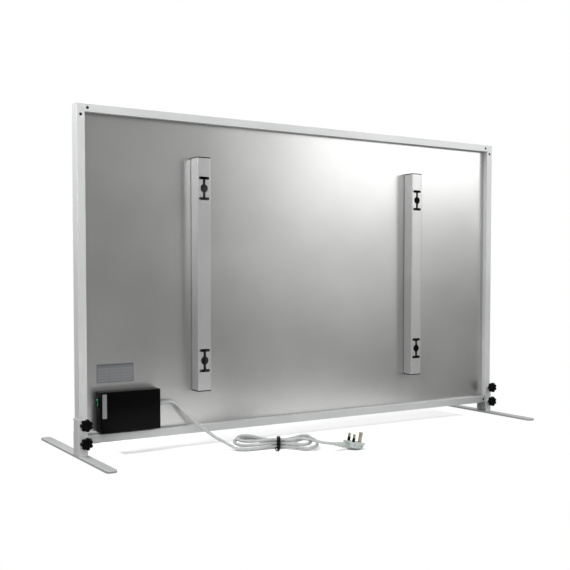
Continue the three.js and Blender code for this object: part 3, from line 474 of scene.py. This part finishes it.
# The fuse drawer fills its bay but for a hair's gap, with a slot to pry it out by.
fuse_drawer = block("fuse_drawer", (-0.0107, -0.0042, -0.0046), (0.0167, 0.0042, 0.0))
pry_slot = block("pry slot", (0.0130, -0.0012, -0.001), (0.0155, 0.0012, 0.001))
carve(fuse_drawer, pry_slot)
soften(fuse_drawer, 0.0003, 2, 30)
settle(fuse_drawer, 35)
fuse_drawer.data.transform(plug_frame)
fit(fuse_drawer, plug_vinyl, "plug_white", "panel", "fuse_carrier")


# Nickelled brass, stamped and tumbled: a dull warm grey metal with fine scratches along
# each pin from use, about 0.3 mm apart.
pin_metal, tree, shader, place = new_finish("nickelled brass pins", Metallic=1.0)
stretch = add_node(tree, "ShaderNodeMapping", {
    "Vector": place, "Scale": (3000.0, 3000.0, 150.0),
})
scratches = add_node(tree, "ShaderNodeTexNoise", {
    "Vector": stretch.outputs["Vector"], "Scale": 1.0,
})
two_tone(tree, shader, scratches.outputs["Fac"], 0.3, 0.7, "#858171", "#a8a392")
set_range(tree, shader.inputs["Roughness"], scratches.outputs["Fac"], 0.28, 0.5)

# Black nylon, moulded: near black all through, with a faint mottle and a low sheen.
def make_black_nylon(name, gloss, mottle_scale, smoothest, roughest):
    material, tree, shader, place = new_finish(name, IOR=1.53, Specular_IOR_Level=gloss)
    mottle = add_node(tree, "ShaderNodeTexNoise", {"Vector": place, "Scale": mottle_scale})
    two_tone(tree, shader, mottle.outputs["Fac"], 0.3, 0.7, "#020202", "#060606")
    set_range(tree, shader.inputs["Roughness"], mottle.outputs["Fac"], smoothest, roughest)
    return material


# Each pin is a bar with a rounded tip. The two shorter ones have a sleeve moulded round
# their lower half.
sleeve_nylon = make_black_nylon("black nylon pin sleeves", 0.05, 900.0, 0.35, 0.5)
pin_root = 0.0055
sleeve_top = 0.0094
sleeve_wall = 0.00012
for name, across, width, depth, length in (
    ("earth", (0.0222, 0), 0.008, 0.004, 0.0227),
    ("line", (0, -0.0111), 0.004, 0.00635, 0.0177),
    ("neutral", (0, 0.0111), 0.004, 0.00635, 0.0177),
):
    x, y = across
    pin = block(
        f"{name}_pin", (x - width / 2, y - depth / 2, -pin_root),
        (x + width / 2, y + depth / 2, length),
    )
    shape(pin, "EDGE", lambda at, way: at.z > length - 1e-4, round_edges(0.0011, 3))
    soften(pin, 0.0003, 2, 60)
    settle(pin, 50)
    pin.data.transform(plug_frame)
    fit(pin, pin_metal, "pin_brass", "panel", f"pin_{name}")
    if name != "earth":
        sleeve = block(
            f"{name}_pin_sleeve",
            (x - width / 2 - sleeve_wall, y - depth / 2 - sleeve_wall, 0.0001),
            (x + width / 2 + sleeve_wall, y + depth / 2 + sleeve_wall, sleeve_top),
        )
        soften(sleeve, 0.0003, 2, 30)
        settle(sleeve, 50)
        sleeve.data.transform(plug_frame)
        fit(sleeve, sleeve_nylon, "black_plastic", "panel")

# ---------------------------------------------------------------- cable tie
# A black nylon tie round the hank's waist: a thin band with a locking head on its near side.
# Its free end lies on the floor and ends in a small curl.
tie_nylon = make_black_nylon("black nylon cable tie", 0.1, 700.0, 0.3, 0.46)
tie_width = 0.008
tie_along = 0.0065
tie_floor_gap = 0.0004
tie_across = 0.025
tie_height = 0.0256
tie_wall = 0.0012
band = block(
    "tie_band", (-tie_width / 2, -tie_across / 2, tie_floor_gap),
    (tie_width / 2, tie_across / 2, tie_floor_gap + tie_height),
)
shape(band, "EDGE", lambda at, way: abs(way.x) > 0.9, round_edges(0.0055, 8))
shape(
    band, "FACE", lambda at, out: abs(out.x) > 0.9,
    inset(tie_wall), (bpy.ops.mesh.bridge_edge_loops, {}),
)
# The head sits on the near side. The free end lies on the floor from under it, and its last
# turn stands up as a ring.
head = block("head", (-0.0046, -0.0172, 0.0098), (0.0046, -0.0116, 0.0170))
shape(head, "EDGE", lambda at, way: at.y < -0.0171 or abs(way.y) > 0.9, round_edges(0.0012, 3))
carve(band, head, "UNION")
strap_end = -0.0345
strap = block("strap", (-0.0030, strap_end, 0.0004), (0.0012, -0.0100, 0.0016))
carve(band, strap, "UNION")
curl = primitive(
    "curl", "cylinder", vertices=32, radius=0.0053, depth=0.0042,
    location=(-0.0035, strap_end, 0.0056), rotation=along_y,
)
shape(
    curl, "FACE", lambda at, out: abs(out.y) > 0.9,
    inset(0.0016), (bpy.ops.mesh.bridge_edge_loops, {}),
)
carve(band, curl, "UNION")
soften(band, 0.0003, 2, 50)
settle(band, 45)
tie_place = Matrix.Translation(hank_centre + hank_axis * tie_along) @ Matrix.Rotation(
    math.atan2(hank_axis.y, hank_axis.x), 4, "Z"
)
band.data.transform(tie_place)
fit(band, tie_nylon, "black_plastic", "panel", "cable_tie")

# ---------------------------------------------------------------- panel frame
# Four hollow aluminium rails, mitred and pulled together by cast keys inside the corners.
# Two countersunk screws a corner hold the keys from behind.
def grained(name, dark, light, roughness, stretches, **shader_values):
    """A drawn or rolled metal finish, whose fine lines run the way that is stretched most."""
    material, tree, shader, place = new_finish(name, **shader_values)
    lines = add_node(tree, "ShaderNodeMapping", {"Vector": place, "Scale": stretches})
    grain = add_node(tree, "ShaderNodeTexNoise", {
        "Vector": lines.outputs["Vector"], "Scale": 1.0, "Detail": 4.0,
    })
    clouds = add_node(tree, "ShaderNodeTexNoise", {"Vector": place, "Scale": 6.0, "Detail": 2.0})
    both = add_node(tree, "ShaderNodeMath", {
        0: grain.outputs["Fac"], 1: clouds.outputs["Fac"],
    }, operation="ADD")
    half = add_node(tree, "ShaderNodeMath", {
        0: both.outputs["Value"], 1: 0.5,
    }, operation="MULTIPLY")
    factor = half.outputs["Value"]
    two_tone(tree, shader, factor, 0.35, 0.65, dark, light)
    set_range(tree, shader.inputs["Roughness"], factor, roughness - 0.05, roughness + 0.05)
    raise_surface(tree, shader, grain.outputs["Fac"], 0.00002)
    return material


def dress(material, *names):
    """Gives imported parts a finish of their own."""
    for name in names:
        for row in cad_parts[name].material_slots:
            row.link = "OBJECT"
            row.material = material


# Drawn aluminium under a satin silver coat: a pale even grey with lines of about 1 mm along
# each rail, whose sheen is soft. The bottom rail's coat is darker: painted shade, for the
# lesser light that reaches it low down. The bottom rail is darker to match the photograph's
# tone, and dust as its reason is a guess.
satin_rail_across = grained(
    "satin silver coated rail, drawn across", "#babbbb", "#c7c8c8", 0.4,
    (12.0, 900.0, 900.0), Metallic=0.3,
)
satin_rail_up = grained(
    "satin silver coated rail, drawn upright", "#babbbb", "#c7c8c8", 0.4,
    (900.0, 900.0, 12.0), Metallic=0.3,
)
# Painted shade: the bottom rail's copy of the coat is darker.
satin_rail_painted_shade = grained(
    "satin silver coated rail, painted darker as shade", "#9d9e9e", "#aaabab", 0.42,
    (12.0, 900.0, 900.0), Metallic=0.3,
)
dress(satin_rail_across, "frame_rail_top")
dress(satin_rail_painted_shade, "frame_rail_bottom")
dress(satin_rail_up, "frame_rail_left", "frame_rail_right")

# Cast zinc is dull and slightly grainy. Bright zinc plate has a cool sheen, and a blackened,
# oiled screw is nearly black with a soft shine on its edges.
evenly = (500.0, 500.0, 500.0)
cast_key = grained(
    "die-cast zinc corner key", "#8f9193", "#a5a7a9", 0.55, (400.0, 400.0, 400.0), Metallic=0.9
)
zinc = grained("bright zinc plating", "#6f7276", "#9a9da1", 0.32, evenly, Metallic=1.0)
oiled_steel = grained("dark oiled screw steel", "#2c2d2e", "#464748", 0.45, evenly, Metallic=0.8)
corners = ("bottom_left", "top_left", "top_right", "bottom_right")
dress(cast_key, *(f"corner_key_{corner}" for corner in corners))
screw_head_radius = 0.0033
screw_head_rim = 0.0002
screw_cone = 0.0014
screw_shank_share = 0.56
cross_size = (0.0040, 0.0024, 0.0009)
for corner in corners:
    for i in (1, 2):
        node = f"corner_screw_{corner}_{i}"
        low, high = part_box(node)
        middle = (low + high) / 2
        top_y = high.y
        screw = primitive(
            f"{node}_head", "cylinder", vertices=28, radius=screw_head_radius,
            depth=screw_head_rim, location=(middle.x, top_y - screw_head_rim / 2, middle.z),
            rotation=along_y,
        )
        shape(
            screw, "FACE", lambda at, out: out.y < -0.9,
            extrude((0, -screw_cone, 0)), scale_by(screw_shank_share, 1, screw_shank_share),
        )
        shank = top_y - low.y - screw_head_rim - screw_cone
        shape(screw, "FACE", lambda at, out: out.y < -0.9, extrude((0, -shank, 0)))
        turn = 0.4 + 0.9 * i + 0.5 * corners.index(corner)
        for arm in (0, math.pi / 2):
            cross = primitive(
                "cross", "cube", size=1, location=(middle.x, top_y, middle.z),
                rotation=(0, turn + arm, 0), scale=cross_size,
            )
            carve(screw, cross)
        settle(screw, 40)
        fit(screw, oiled_steel, "screw_steel", "panel", node)

# ---------------------------------------------------------------- panel
# The sandwich in the frame's groove: a satin metal back plate, a mineral board, the heating
# film and the radiant front plate, powder-coated white.

# Mill-finish sheet: bare metal rolled to a satin, so it mirrors the studio in a soft blur
# with no direction. Its grain of 0.7 mm is coarser than the real one, to show at all.
back_sheet = grained(
    "satin mill-finish aluminium sheet", "#b2b2b1", "#bebebd", 0.3,
    (1400.0, 1400.0, 1400.0), Metallic=1.0,
)
dress(back_sheet, "back_plate")

# Pressed mineral wool: straw-coloured, fibrous and quite matt.
board, tree, shader, place = new_finish("pressed mineral wool", Roughness=0.95)
fibres = add_node(tree, "ShaderNodeTexNoise", {"Vector": place, "Scale": 300.0, "Detail": 6.0})
two_tone(tree, shader, fibres.outputs["Fac"], 0.3, 0.7, "#a8965a", "#d9cb95")
dress(board, "insulation_board")

# Carbon ink printed in bands of 8 mm on a clear laminate, so black bands under a dull gloss.
film, tree, shader, place = new_finish("laminated carbon film", Roughness=0.35)
bands = add_node(tree, "ShaderNodeTexWave", {"Vector": place, "Scale": 40.0}, bands_direction="Z")
two_tone(tree, shader, bands.outputs["Fac"], 0.45, 0.55, "#151516", "#2b2b2d")
dress(film, "heating_film")

# Powder coat: baked polyester with an orange peel of about 1.5 mm and a low sheen.
front_coat, tree, shader, place = new_finish("white powder coat", IOR=1.5)
peel = add_node(tree, "ShaderNodeTexNoise", {"Vector": place, "Scale": 650.0, "Detail": 2.0})
two_tone(tree, shader, peel.outputs["Fac"], 0.3, 0.7, "#e6e7e5", "#eeefed")
set_range(tree, shader.inputs["Roughness"], peel.outputs["Fac"], 0.38, 0.5)
raise_surface(tree, shader, peel.outputs["Fac"], 0.00008)
dress(front_coat, "front_plate")

# ---------------------------------------------------------------- rating plates
# Two self-adhesive plates of silver polyester: a wide one on the back plate over the
# control box, ruled in rows, and a narrow one down the edge of the box. Both are blank.

# Metallised film: a grey with a weak metal shine under a clear face.
foil, tree, shader, place = new_finish("silver polyester label", Metallic=0.5)
flakes = add_node(tree, "ShaderNodeTexNoise", {"Vector": place, "Scale": 900.0, "Detail": 2.0})
two_tone(tree, shader, flakes.outputs["Fac"], 0.3, 0.7, "#767779", "#858688")
set_range(tree, shader.inputs["Roughness"], flakes.outputs["Fac"], 0.3, 0.42)

# Screen-printed ink: flat, dark and slightly uneven.
ink, tree, shader, place = new_finish("dark grey label ink", IOR=1.5)
speckle = add_node(tree, "ShaderNodeTexNoise", {"Vector": place, "Scale": 2000.0})
two_tone(tree, shader, speckle.outputs["Fac"], 0.3, 0.7, "#37393b", "#45474a")
set_range(tree, shader.inputs["Roughness"], speckle.outputs["Fac"], 0.5, 0.6)

back_plate_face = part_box("back_plate")[1].y
box_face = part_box("box_cover")[1].y
label_thickness = 0.0002
glue_gap = 0.00002
plate = block(
    "rating_plate", (0.470, back_plate_face + glue_gap, 0.156),
    (0.5565, back_plate_face + label_thickness, 0.198),
)
shape(plate, "EDGE", lambda at, way: abs(way.y) > 0.9, round_edges(0.002, 5))
settle(plate, 40)
fit(plate, foil, "frame", "panel")

# The rules are one printed sheet with its cells cut out: five rows in three columns, under
# a heading of three narrow bands.
ink_thickness = 0.00003
rules_left, rules_right, rules_low, rules_high = 0.4718, 0.5547, 0.1576, 0.1964
border = 0.0008
rule_width = 0.0004
columns = 3
rows = 5
row_height = 0.0062
heading_bands = 3
heading_pitch = 0.0015
heading_cell = 0.0009
rules = block(
    "rating_plate_rules", (rules_left, back_plate_face + label_thickness, rules_low),
    (rules_right, back_plate_face + label_thickness + ink_thickness, rules_high),
)
inner_width = rules_right - rules_left - 2 * border
cell_width = (inner_width - (columns - 1) * rule_width) / columns
cells = [
    (
        rules_left + border + (cell_width + rule_width) * column,
        rules_low + border + row_height * row, cell_width, row_height - rule_width,
    )
    for column in range(columns) for row in range(rows)
]
heading_low = rules_low + border + row_height * (rows - 1) + row_height + rule_width
cells += [
    (rules_left + border, heading_low + heading_pitch * band, inner_width, heading_cell)
    for band in range(heading_bands)
]
for x, z, width, height in cells:
    carve(rules, block(
        "cell", (x, back_plate_face, z),
        (x + width, back_plate_face + 2 * label_thickness, z + height),
    ))
settle(rules, 40)
fit(rules, ink, "black_plastic", "panel")
strip = block(
    "box_label", (0.5452, box_face + glue_gap, 0.0838),
    (0.5550, box_face + label_thickness, 0.1358),
)
shape(strip, "EDGE", lambda at, way: abs(way.y) > 0.9, round_edges(0.0008, 4))
settle(strip, 40)
fit(strip, foil, "frame", "panel")

# ---------------------------------------------------------------- mounting channels
# Two channels folded from 1.5 mm sheet, with two cross-shaped key slots each for wall
# screws, closed at both ends by pushed-in black caps.

# A satin metallic coat: a blurred mirror with faint lines along the fold.
channel_sheet = grained(
    "satin coated folded sheet", "#b2b2b2", "#bcbcbc", 0.34,
    (1200.0, 1200.0, 300.0), Metallic=0.85,
)
dress(channel_sheet, "mounting_channel_left", "mounting_channel_right")

# The inside of each channel looks dark through its key slots, so it is painted a dull dark
# grey here: painted shade, for the dark inside the channel. The inside of each channel
# looks dark through its key slots, so it has a dull dark grey coat here, guessed to be the
# sheet's reverse.
channel_centre_x = 0.312
channel_inner_half_width = 0.0155
channel_inner_face_y = 0.0664
tree = channel_sheet.node_tree
shader = tree.nodes["Principled BSDF"]
place = tree.nodes["Texture Coordinate"].outputs["Object"]
at = add_node(tree, "ShaderNodeSeparateXYZ", {"Vector": place})
either_side = add_node(tree, "ShaderNodeMath", {0: at.outputs["X"]}, operation="ABSOLUTE")
between_sides = add_node(tree, "ShaderNodeMath", {
    0: either_side.outputs["Value"], 1: channel_centre_x, 2: channel_inner_half_width,
}, operation="COMPARE")
under_web = add_node(tree, "ShaderNodeMath", {
    0: at.outputs["Y"], 1: channel_inner_face_y,
}, operation="LESS_THAN")
inside_shade_mask = add_node(tree, "ShaderNodeMath", {
    0: between_sides.outputs["Value"], 1: under_web.outputs["Value"],
}, operation="MULTIPLY")
face_colour = shader.inputs["Base Color"].links[0].from_socket
mix_factor, mix_a, mix_b, mix_result = 0, 6, 7, 2
# Painted shade: the dark grey inside the channel, mixed over the face colour.
face_or_painted_shade = add_node(tree, "ShaderNodeMix", {
    mix_factor: inside_shade_mask.outputs["Value"], mix_a: face_colour, mix_b: linear("#4a4c4c"),
}, data_type="RGBA")
tree.links.new(face_or_painted_shade.outputs[mix_result], shader.inputs["Base Color"])

# Black moulded plastic with a fine spark-eroded texture of about 0.7 mm and a low sheen.
def make_black_moulding(name, dark, light, roughness, texture, depth):
    material, tree, shader, place = new_finish(name, IOR=1.5, Specular_IOR_Level=0.06)
    pits = add_node(tree, "ShaderNodeTexNoise", {"Vector": place, "Scale": texture, "Detail": 2.0})
    two_tone(tree, shader, pits.outputs["Fac"], 0.3, 0.7, dark, light)
    rougher, smoother = roughness + 0.06, roughness - 0.06
    set_range(tree, shader.inputs["Roughness"], pits.outputs["Fac"], smoother, rougher)
    raise_surface(tree, shader, pits.outputs["Fac"], depth)
    return material


cap_plastic = make_black_moulding(
    "black polypropylene cap", "#101112", "#1a1b1c", 0.5, 1400.0, 0.00003
)
dress(
    cap_plastic, "channel_cap_left_bottom", "channel_cap_left_top",
    "channel_cap_right_bottom", "channel_cap_right_top",
)

# ---------------------------------------------------------------- control box
# A two-part ABS box at the bottom corner: a deep cover over a base tray, held by two
# screws through the base, with the switch in one end and the cord's gland in the other.

# ABS from a fine-textured mould: black enough to lose its edges in shade.
box_abs = make_black_moulding("black textured ABS", "#010101", "#020202", 0.3, 1500.0, 0.00002)
cover_low, cover_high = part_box("box_cover")
cover_wall = 0.0022
cover_edge = 0.002
switch_y = 0.0465
switch_z = 0.117
gland_y = 0.047
gland_z = 0.105
cover = block("control_box_cover", cover_low, cover_high)
shape(
    cover, "EDGE",
    lambda at, way: abs(way.y) > 0.9 or at.y > cover_high.y - 1e-4,
    round_edges(cover_edge, 5),
)
shape(
    cover, "FACE", lambda at, out: out.y < -0.99,
    inset(cover_wall), extrude((0, cover_high.y - cover_low.y - cover_wall, 0)),
)


def at_switch(name, from_x, to_x, half_width, half_height):
    """A block centred on the switch, from one x to another."""
    return block(
        name, (from_x, switch_y - half_width, switch_z - half_height),
        (to_x, switch_y + half_width, switch_z + half_height),
    )


carve(cover, at_switch("switch hole", 0.548, 0.568, 0.0066, 0.0097))
carve(cover, primitive(
    "gland hole", "cylinder", vertices=32, radius=0.0049, depth=0.01,
    location=(cover_low.x, gland_y, gland_z), rotation=along_x,
))
settle(cover, 40)
fit(cover, box_abs, "black_plastic", "panel", "box_cover")
dress(box_abs, "box_base")
dress(zinc, "box_screw_1", "box_screw_2")

# Inside the box: nylon is ivory and waxy, glazed ceramic is cream and wet-looking.
dress(
    make_soft_vinyl("white nylon terminal block", "#d8d8d2", "#e6e6e0", 0.4), "terminal_block"
)
dress(make_soft_vinyl("glazed ceramic cut-out", "#d6d0c0", "#e4dfd1", 0.2), "thermal_cutout")

# The switch's body snaps into its hole. Its rim is glossy and catches a thin line of light.
bezel_gloss = make_black_moulding(
    "black glossy switch bezel", "#0b0c0c", "#141515", 0.22, 600.0, 0.00001
)
housing_low, housing_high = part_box("switch_housing")
bezel_back = cover_high.x + 0.0003
bezel_corner = 0.0015
bezel_edge = 0.0006
housing = at_switch("switch_bezel", housing_low.x, bezel_back, 0.0063, 0.0094)
flange = block("flange", (bezel_back, housing_low.y, housing_low.z), housing_high)
shape(flange, "EDGE", lambda at, way: abs(way.x) > 0.9, round_edges(bezel_corner, 5))
shape(flange, "FACE", lambda at, out: out.x > 0.9, round_edges(bezel_edge, 3))
carve(housing, flange, "UNION")
carve(housing, at_switch("pocket", 0.5495, 0.5625, 0.0055, 0.0085))
settle(housing, 40)
fit(housing, bezel_gloss, "black_plastic", "panel", "switch_housing")

# Clear green polycarbonate, polished in the mould: light passes into it and glows back.
rocker_green, tree, shader, place = new_finish(
    "clear green polycarbonate", IOR=1.58, Transmission_Weight=0.35,
)
streaks = add_node(tree, "ShaderNodeTexNoise", {"Vector": place, "Scale": 250.0})
two_tone(tree, shader, streaks.outputs["Fac"], 0.3, 0.7, "#17855c", "#2fae7d")
set_range(tree, shader.inputs["Roughness"], streaks.outputs["Fac"], 0.1, 0.2)
rocker_half_height = 0.0076
rocker_half_width = 0.00515
rocker_rise = 0.0006
rocker_levels = 10
rocker_tilt = math.radians(10)
rocker = block(
    "rocker", (-0.002, -rocker_half_width, -rocker_half_height),
    (0.0028, rocker_half_width, rocker_half_height),
)
shape(
    rocker, "EDGE", lambda at, way: abs(way.z) > 0.9,
    (bpy.ops.mesh.subdivide, {"number_cuts": rocker_levels - 1}),
)
for level in range(rocker_levels + 1):
    height = rocker_half_height * (2 * level / rocker_levels - 1)
    hollow = rocker_rise * math.cos(height / rocker_half_height * math.pi)
    shape(
        rocker, "VERT", lambda at, out: at.x > 0.002 and abs(at.z - height) < 1e-4,
        move_by(-hollow, 0, 0),
    )
soften(rocker, 0.0005, 3, 45)
settle(rocker, 40)
rocker_place = Matrix.Translation((0.5565, switch_y, switch_z))
rocker.data.transform(rocker_place @ Matrix.Rotation(rocker_tilt, 4, "Y"))
fit(rocker, rocker_green, "green_rocker", "rocker", "switch_rocker")

# The gland is a black nylon nut, and the cord's strain relief a ribbed white sleeve in it.
gland_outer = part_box("gland_body")[0].x
nut_thickness = 0.002
nut_dome = 0.0011
gland = primitive(
    "gland_nut", "cylinder", vertices=12, radius=0.0066, depth=nut_thickness,
    location=(gland_outer + nut_dome + nut_thickness / 2, gland_y, gland_z),
    rotation=along_x,
)
shape(
    gland, "FACE", lambda at, out: out.x < -0.9,
    extrude((-nut_dome, 0, 0)), scale_by(1, 0.84, 0.84),
)
shape(gland, "FACE", lambda at, out: out.x > 0.9, inset(0.002), extrude((0.0092, 0, 0)))
soften(gland, 0.0003, 2, 25)
settle(gland, 30)
fit(gland, cap_plastic, "black_plastic", "panel", "gland_body")

relief_low, relief_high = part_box("cord_strain_relief")
relief_root = 0.003
relief_radius = 0.0046
relief = primitive(
    "cord_strain_relief_sleeve", "cylinder", vertices=32, radius=relief_radius,
    depth=relief_root, location=(relief_high.x - relief_root / 2, gland_y, gland_z),
    rotation=along_x,
)
relief_ribs = 4
rib_pitch = 0.0038
for rib in range(relief_ribs):
    rib_radius = relief_radius
    for step, thinner in ((0.0008, 0.0006), (0.0012, 0.0006), (0.0006, 0.0001), (0.0012, 0.0003)):
        radius = rib_radius - thinner
        shape(
            relief, "FACE", lambda at, out: out.x < -0.9,
            extrude((-step, 0, 0)),
            scale_by(1, radius / relief_radius, radius / relief_radius),
        )
        relief_radius = radius
relief_tip = relief_high.x - relief_low.x - relief_root - relief_ribs * rib_pitch
shape(relief, "FACE", lambda at, out: out.x < -0.9, extrude((-relief_tip, 0, 0)))
soften(relief, 0.0002, 2, 30)
settle(relief, 40)
fit(relief, white_sheath, "cord_white", "panel", "cord_strain_relief")

# ---------------------------------------------------------------- feet
# Each foot is a flat steel bar with a folded U-clamp welded on, all in the same satin
# coat. The clamp slides on the frame's corner and is held by two star knobs.

# Satin silver coat on steel: soft and pale, with faint lines along the bar. The bar's copy of
# the coat is darker than the clamp's: painted shade on the bar.
foot_bar_painted_shade = grained(
    "satin coated steel bar, painted darker as shade", "#999a9a", "#a5a6a6", 0.4, (900.0, 10.0, 900.0), Metallic=0.3
)
foot_coat = grained(
    "satin coated folded steel", "#bebfbf", "#c9caca", 0.4, (700.0, 700.0, 700.0), Metallic=0.4
)
bar_corner_radius = 0.0095
bar_edge = 0.0009
for side in ("left", "right"):
    bar_low, bar_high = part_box(f"foot_bar_{side}")
    bar = block(f"foot_{side}_bar", bar_low, bar_high)
    shape(bar, "EDGE", lambda at, way: abs(way.z) > 0.9, round_edges(bar_corner_radius, 10))
    soften(bar, bar_edge, 3, 60)
    settle(bar, 35)
    fit(bar, foot_bar_painted_shade, "foot_steel", f"foot_{side}", f"foot_bar_{side}")
    dress(foot_coat, f"foot_clamp_{side}")
    for level in ("lower", "upper"):
        dress(zinc, f"clamp_stud_{side}_{level}")

# ---------------------------------------------------------------- star knobs
# Each knob is moulded in glass-filled nylon round its stud: seven lobes with rounded edges, a
# shallow dish in the face, and a round collar towards the clamp.

# The nylon is near black and dull, with a faint grain from the glass.
knob_plastic = make_black_moulding(
    "black glass-filled nylon knob", "#020202", "#050505", 0.42, 1300.0, 0.00004
)
knob_radius = 0.0135
knob_centre_x = {"left": -0.591, "right": 0.591}
knob_centre_z = {"lower": 0.034, "upper": 0.073}
lobes = 7
per_lobe = 8
valley_depth_share = 0.267
lobe_fullness = 0.7
knob_edge = 0.0018
dish_border = 0.0035
dish_depth = 0.0007
collar = 0.004
collar_radius = 0.007
collar_overlap = 0.001
socket_radius = 0.00315
for side in ("left", "right"):
    for level in ("lower", "upper"):
        node = f"clamp_knob_{side}_{level}"
        low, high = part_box(node)
        centre = Vector((knob_centre_x[side], 0, knob_centre_z[level]))
        head_low = low.y + collar
        knob = primitive(
            f"star_knob_{side}_{level}", "cylinder", vertices=lobes * per_lobe,
            radius=knob_radius, depth=high.y - head_low,
            location=(centre.x, (head_low + high.y) / 2, centre.z), rotation=along_y,
        )

        def phase(at):
            """How far round its lobe a point stands: 0 at the tip, 4 in the valley."""
            angle = math.atan2(at.z - centre.z, at.x - centre.x)
            steps = round(angle / (2 * math.pi) * lobes * per_lobe) % per_lobe
            return min(steps, per_lobe - steps)

        for place_in_lobe in range(1, per_lobe // 2 + 1):
            wave = abs(math.cos(place_in_lobe / per_lobe * math.pi)) ** lobe_fullness
            pull = 1 - (1 - wave) * valley_depth_share
            shape(knob, "VERT", lambda at, out: phase(at) == place_in_lobe, scale_by(pull, 1, pull))
        shape(knob, "EDGE", lambda at, way: abs(way.y) < 0.1, round_edges(knob_edge, 4))
        shape(
            knob, "FACE", lambda at, out: out.y > 0.99,
            inset(dish_border), move_by(0, -dish_depth, 0),
        )
        collar_length = collar + collar_overlap
        hub = primitive(
            "hub", "cylinder", vertices=32, radius=collar_radius, depth=collar_length,
            location=(centre.x, low.y + collar_length / 2, centre.z),
            rotation=along_y,
        )
        shape(
            hub, "EDGE", lambda at, way: at.y < low.y + 1e-4 and abs(way.y) < 0.1,
            round_edges(0.0005, 2),
        )
        carve(knob, hub, "UNION")
        carve(knob, primitive(
            "socket", "cylinder", vertices=24, radius=socket_radius, depth=0.02,
            location=(centre.x, low.y, centre.z), rotation=along_y,
        ))
        settle(knob, 40)
        fit(knob, knob_plastic, "black_plastic", f"knob_{side}_{level}", node)

# ---------------------------------------------------------------- studio
# A plain white board in a surround that is bright overhead and dim at the sides and below.
# Of the softboxes, one hangs overhead, two stand to the camera's right, one behind the camera
# and one beyond the box end.
floor = primitive(
    "floor", "plane", size=1, location=(0, 0.05, -0.0003), scale=(2.8, 1.6, 1)
)

# Matt white paint: even, with a hardly seen mottle from the roller.
floor_paint, tree, shader, place = new_finish("matt white painted board", Roughness=0.7)
tone = add_node(tree, "ShaderNodeTexNoise", {"Vector": place, "Scale": 0.7})
two_tone(tree, shader, tone.outputs["Fac"], 0.3, 0.7, "#f6f6f6", "#fbfbfb")
floor.data.materials.append(floor_paint)

# The surround lights the object by height, and is plain white where the camera sees it.
white = (1, 1, 1, 1)
world = bpy.data.worlds.new("studio surround")
bpy.context.scene.world = world
world.use_nodes = True
sky = world.node_tree
surround = sky.nodes["Background"]
surround.inputs["Color"].default_value = white
ways = add_node(sky, "ShaderNodeTexCoord", {})
height = add_node(sky, "ShaderNodeSeparateXYZ", {"Vector": ways.outputs["Generated"]})
brighter = add_node(sky, "ShaderNodeMapRange", {
    "Value": height.outputs["Z"], "From Min": 0.2, "From Max": 0.65, "To Min": 0.3, "To Max": 1.25,
})
sky.links.new(brighter.outputs["Result"], surround.inputs["Strength"])
backdrop = add_node(sky, "ShaderNodeBackground", {"Color": white, "Strength": 1.0})
rays = add_node(sky, "ShaderNodeLightPath", {})
seen = add_node(sky, "ShaderNodeMixShader", {
    "Fac": rays.outputs["Is Camera Ray"],
    1: surround.outputs["Background"], 2: backdrop.outputs["Background"],
})
sky.links.new(seen.outputs["Shader"], sky.nodes["World Output"].inputs["Surface"])


def soft_light(name, place, target, width, height, power):
    """A rectangular softbox in metres and watts that faces its target."""
    light = bpy.data.lights.new(name, "AREA")
    light.shape = "RECTANGLE"
    light.size = width
    light.size_y = height
    light.energy = power
    lamp = bpy.data.objects.new(name, light)
    lamp.location = place
    lamp.rotation_euler = (Vector(target) - Vector(place)).to_track_quat("-Z", "Y").to_euler()
    bpy.context.collection.objects.link(lamp)


soft_light("overhead softbox", (0, 0.4, 3.2), (0, 0.1, 0), 3.2, 2.4, 12)
soft_light("side softbox", (-3.0, 2.7, 1.75), (0, 0, 0.4), 2.2, 1.6, 38)
soft_light("low softbox", (-2.4, 3.3, 0.7), (0, 0, 0.4), 1.0, 1.3, 4)
soft_light("camera softbox", (2.0, 3.6, 1.6), (0, 0, 0.4), 1.4, 1.8, 40)
soft_light("end softbox", (1.05, 0.2, 1.3), (0.6, 0, 0.7), 0.6, 0.6, 18)
bpy.context.scene.view_settings.view_transform = "Standard"
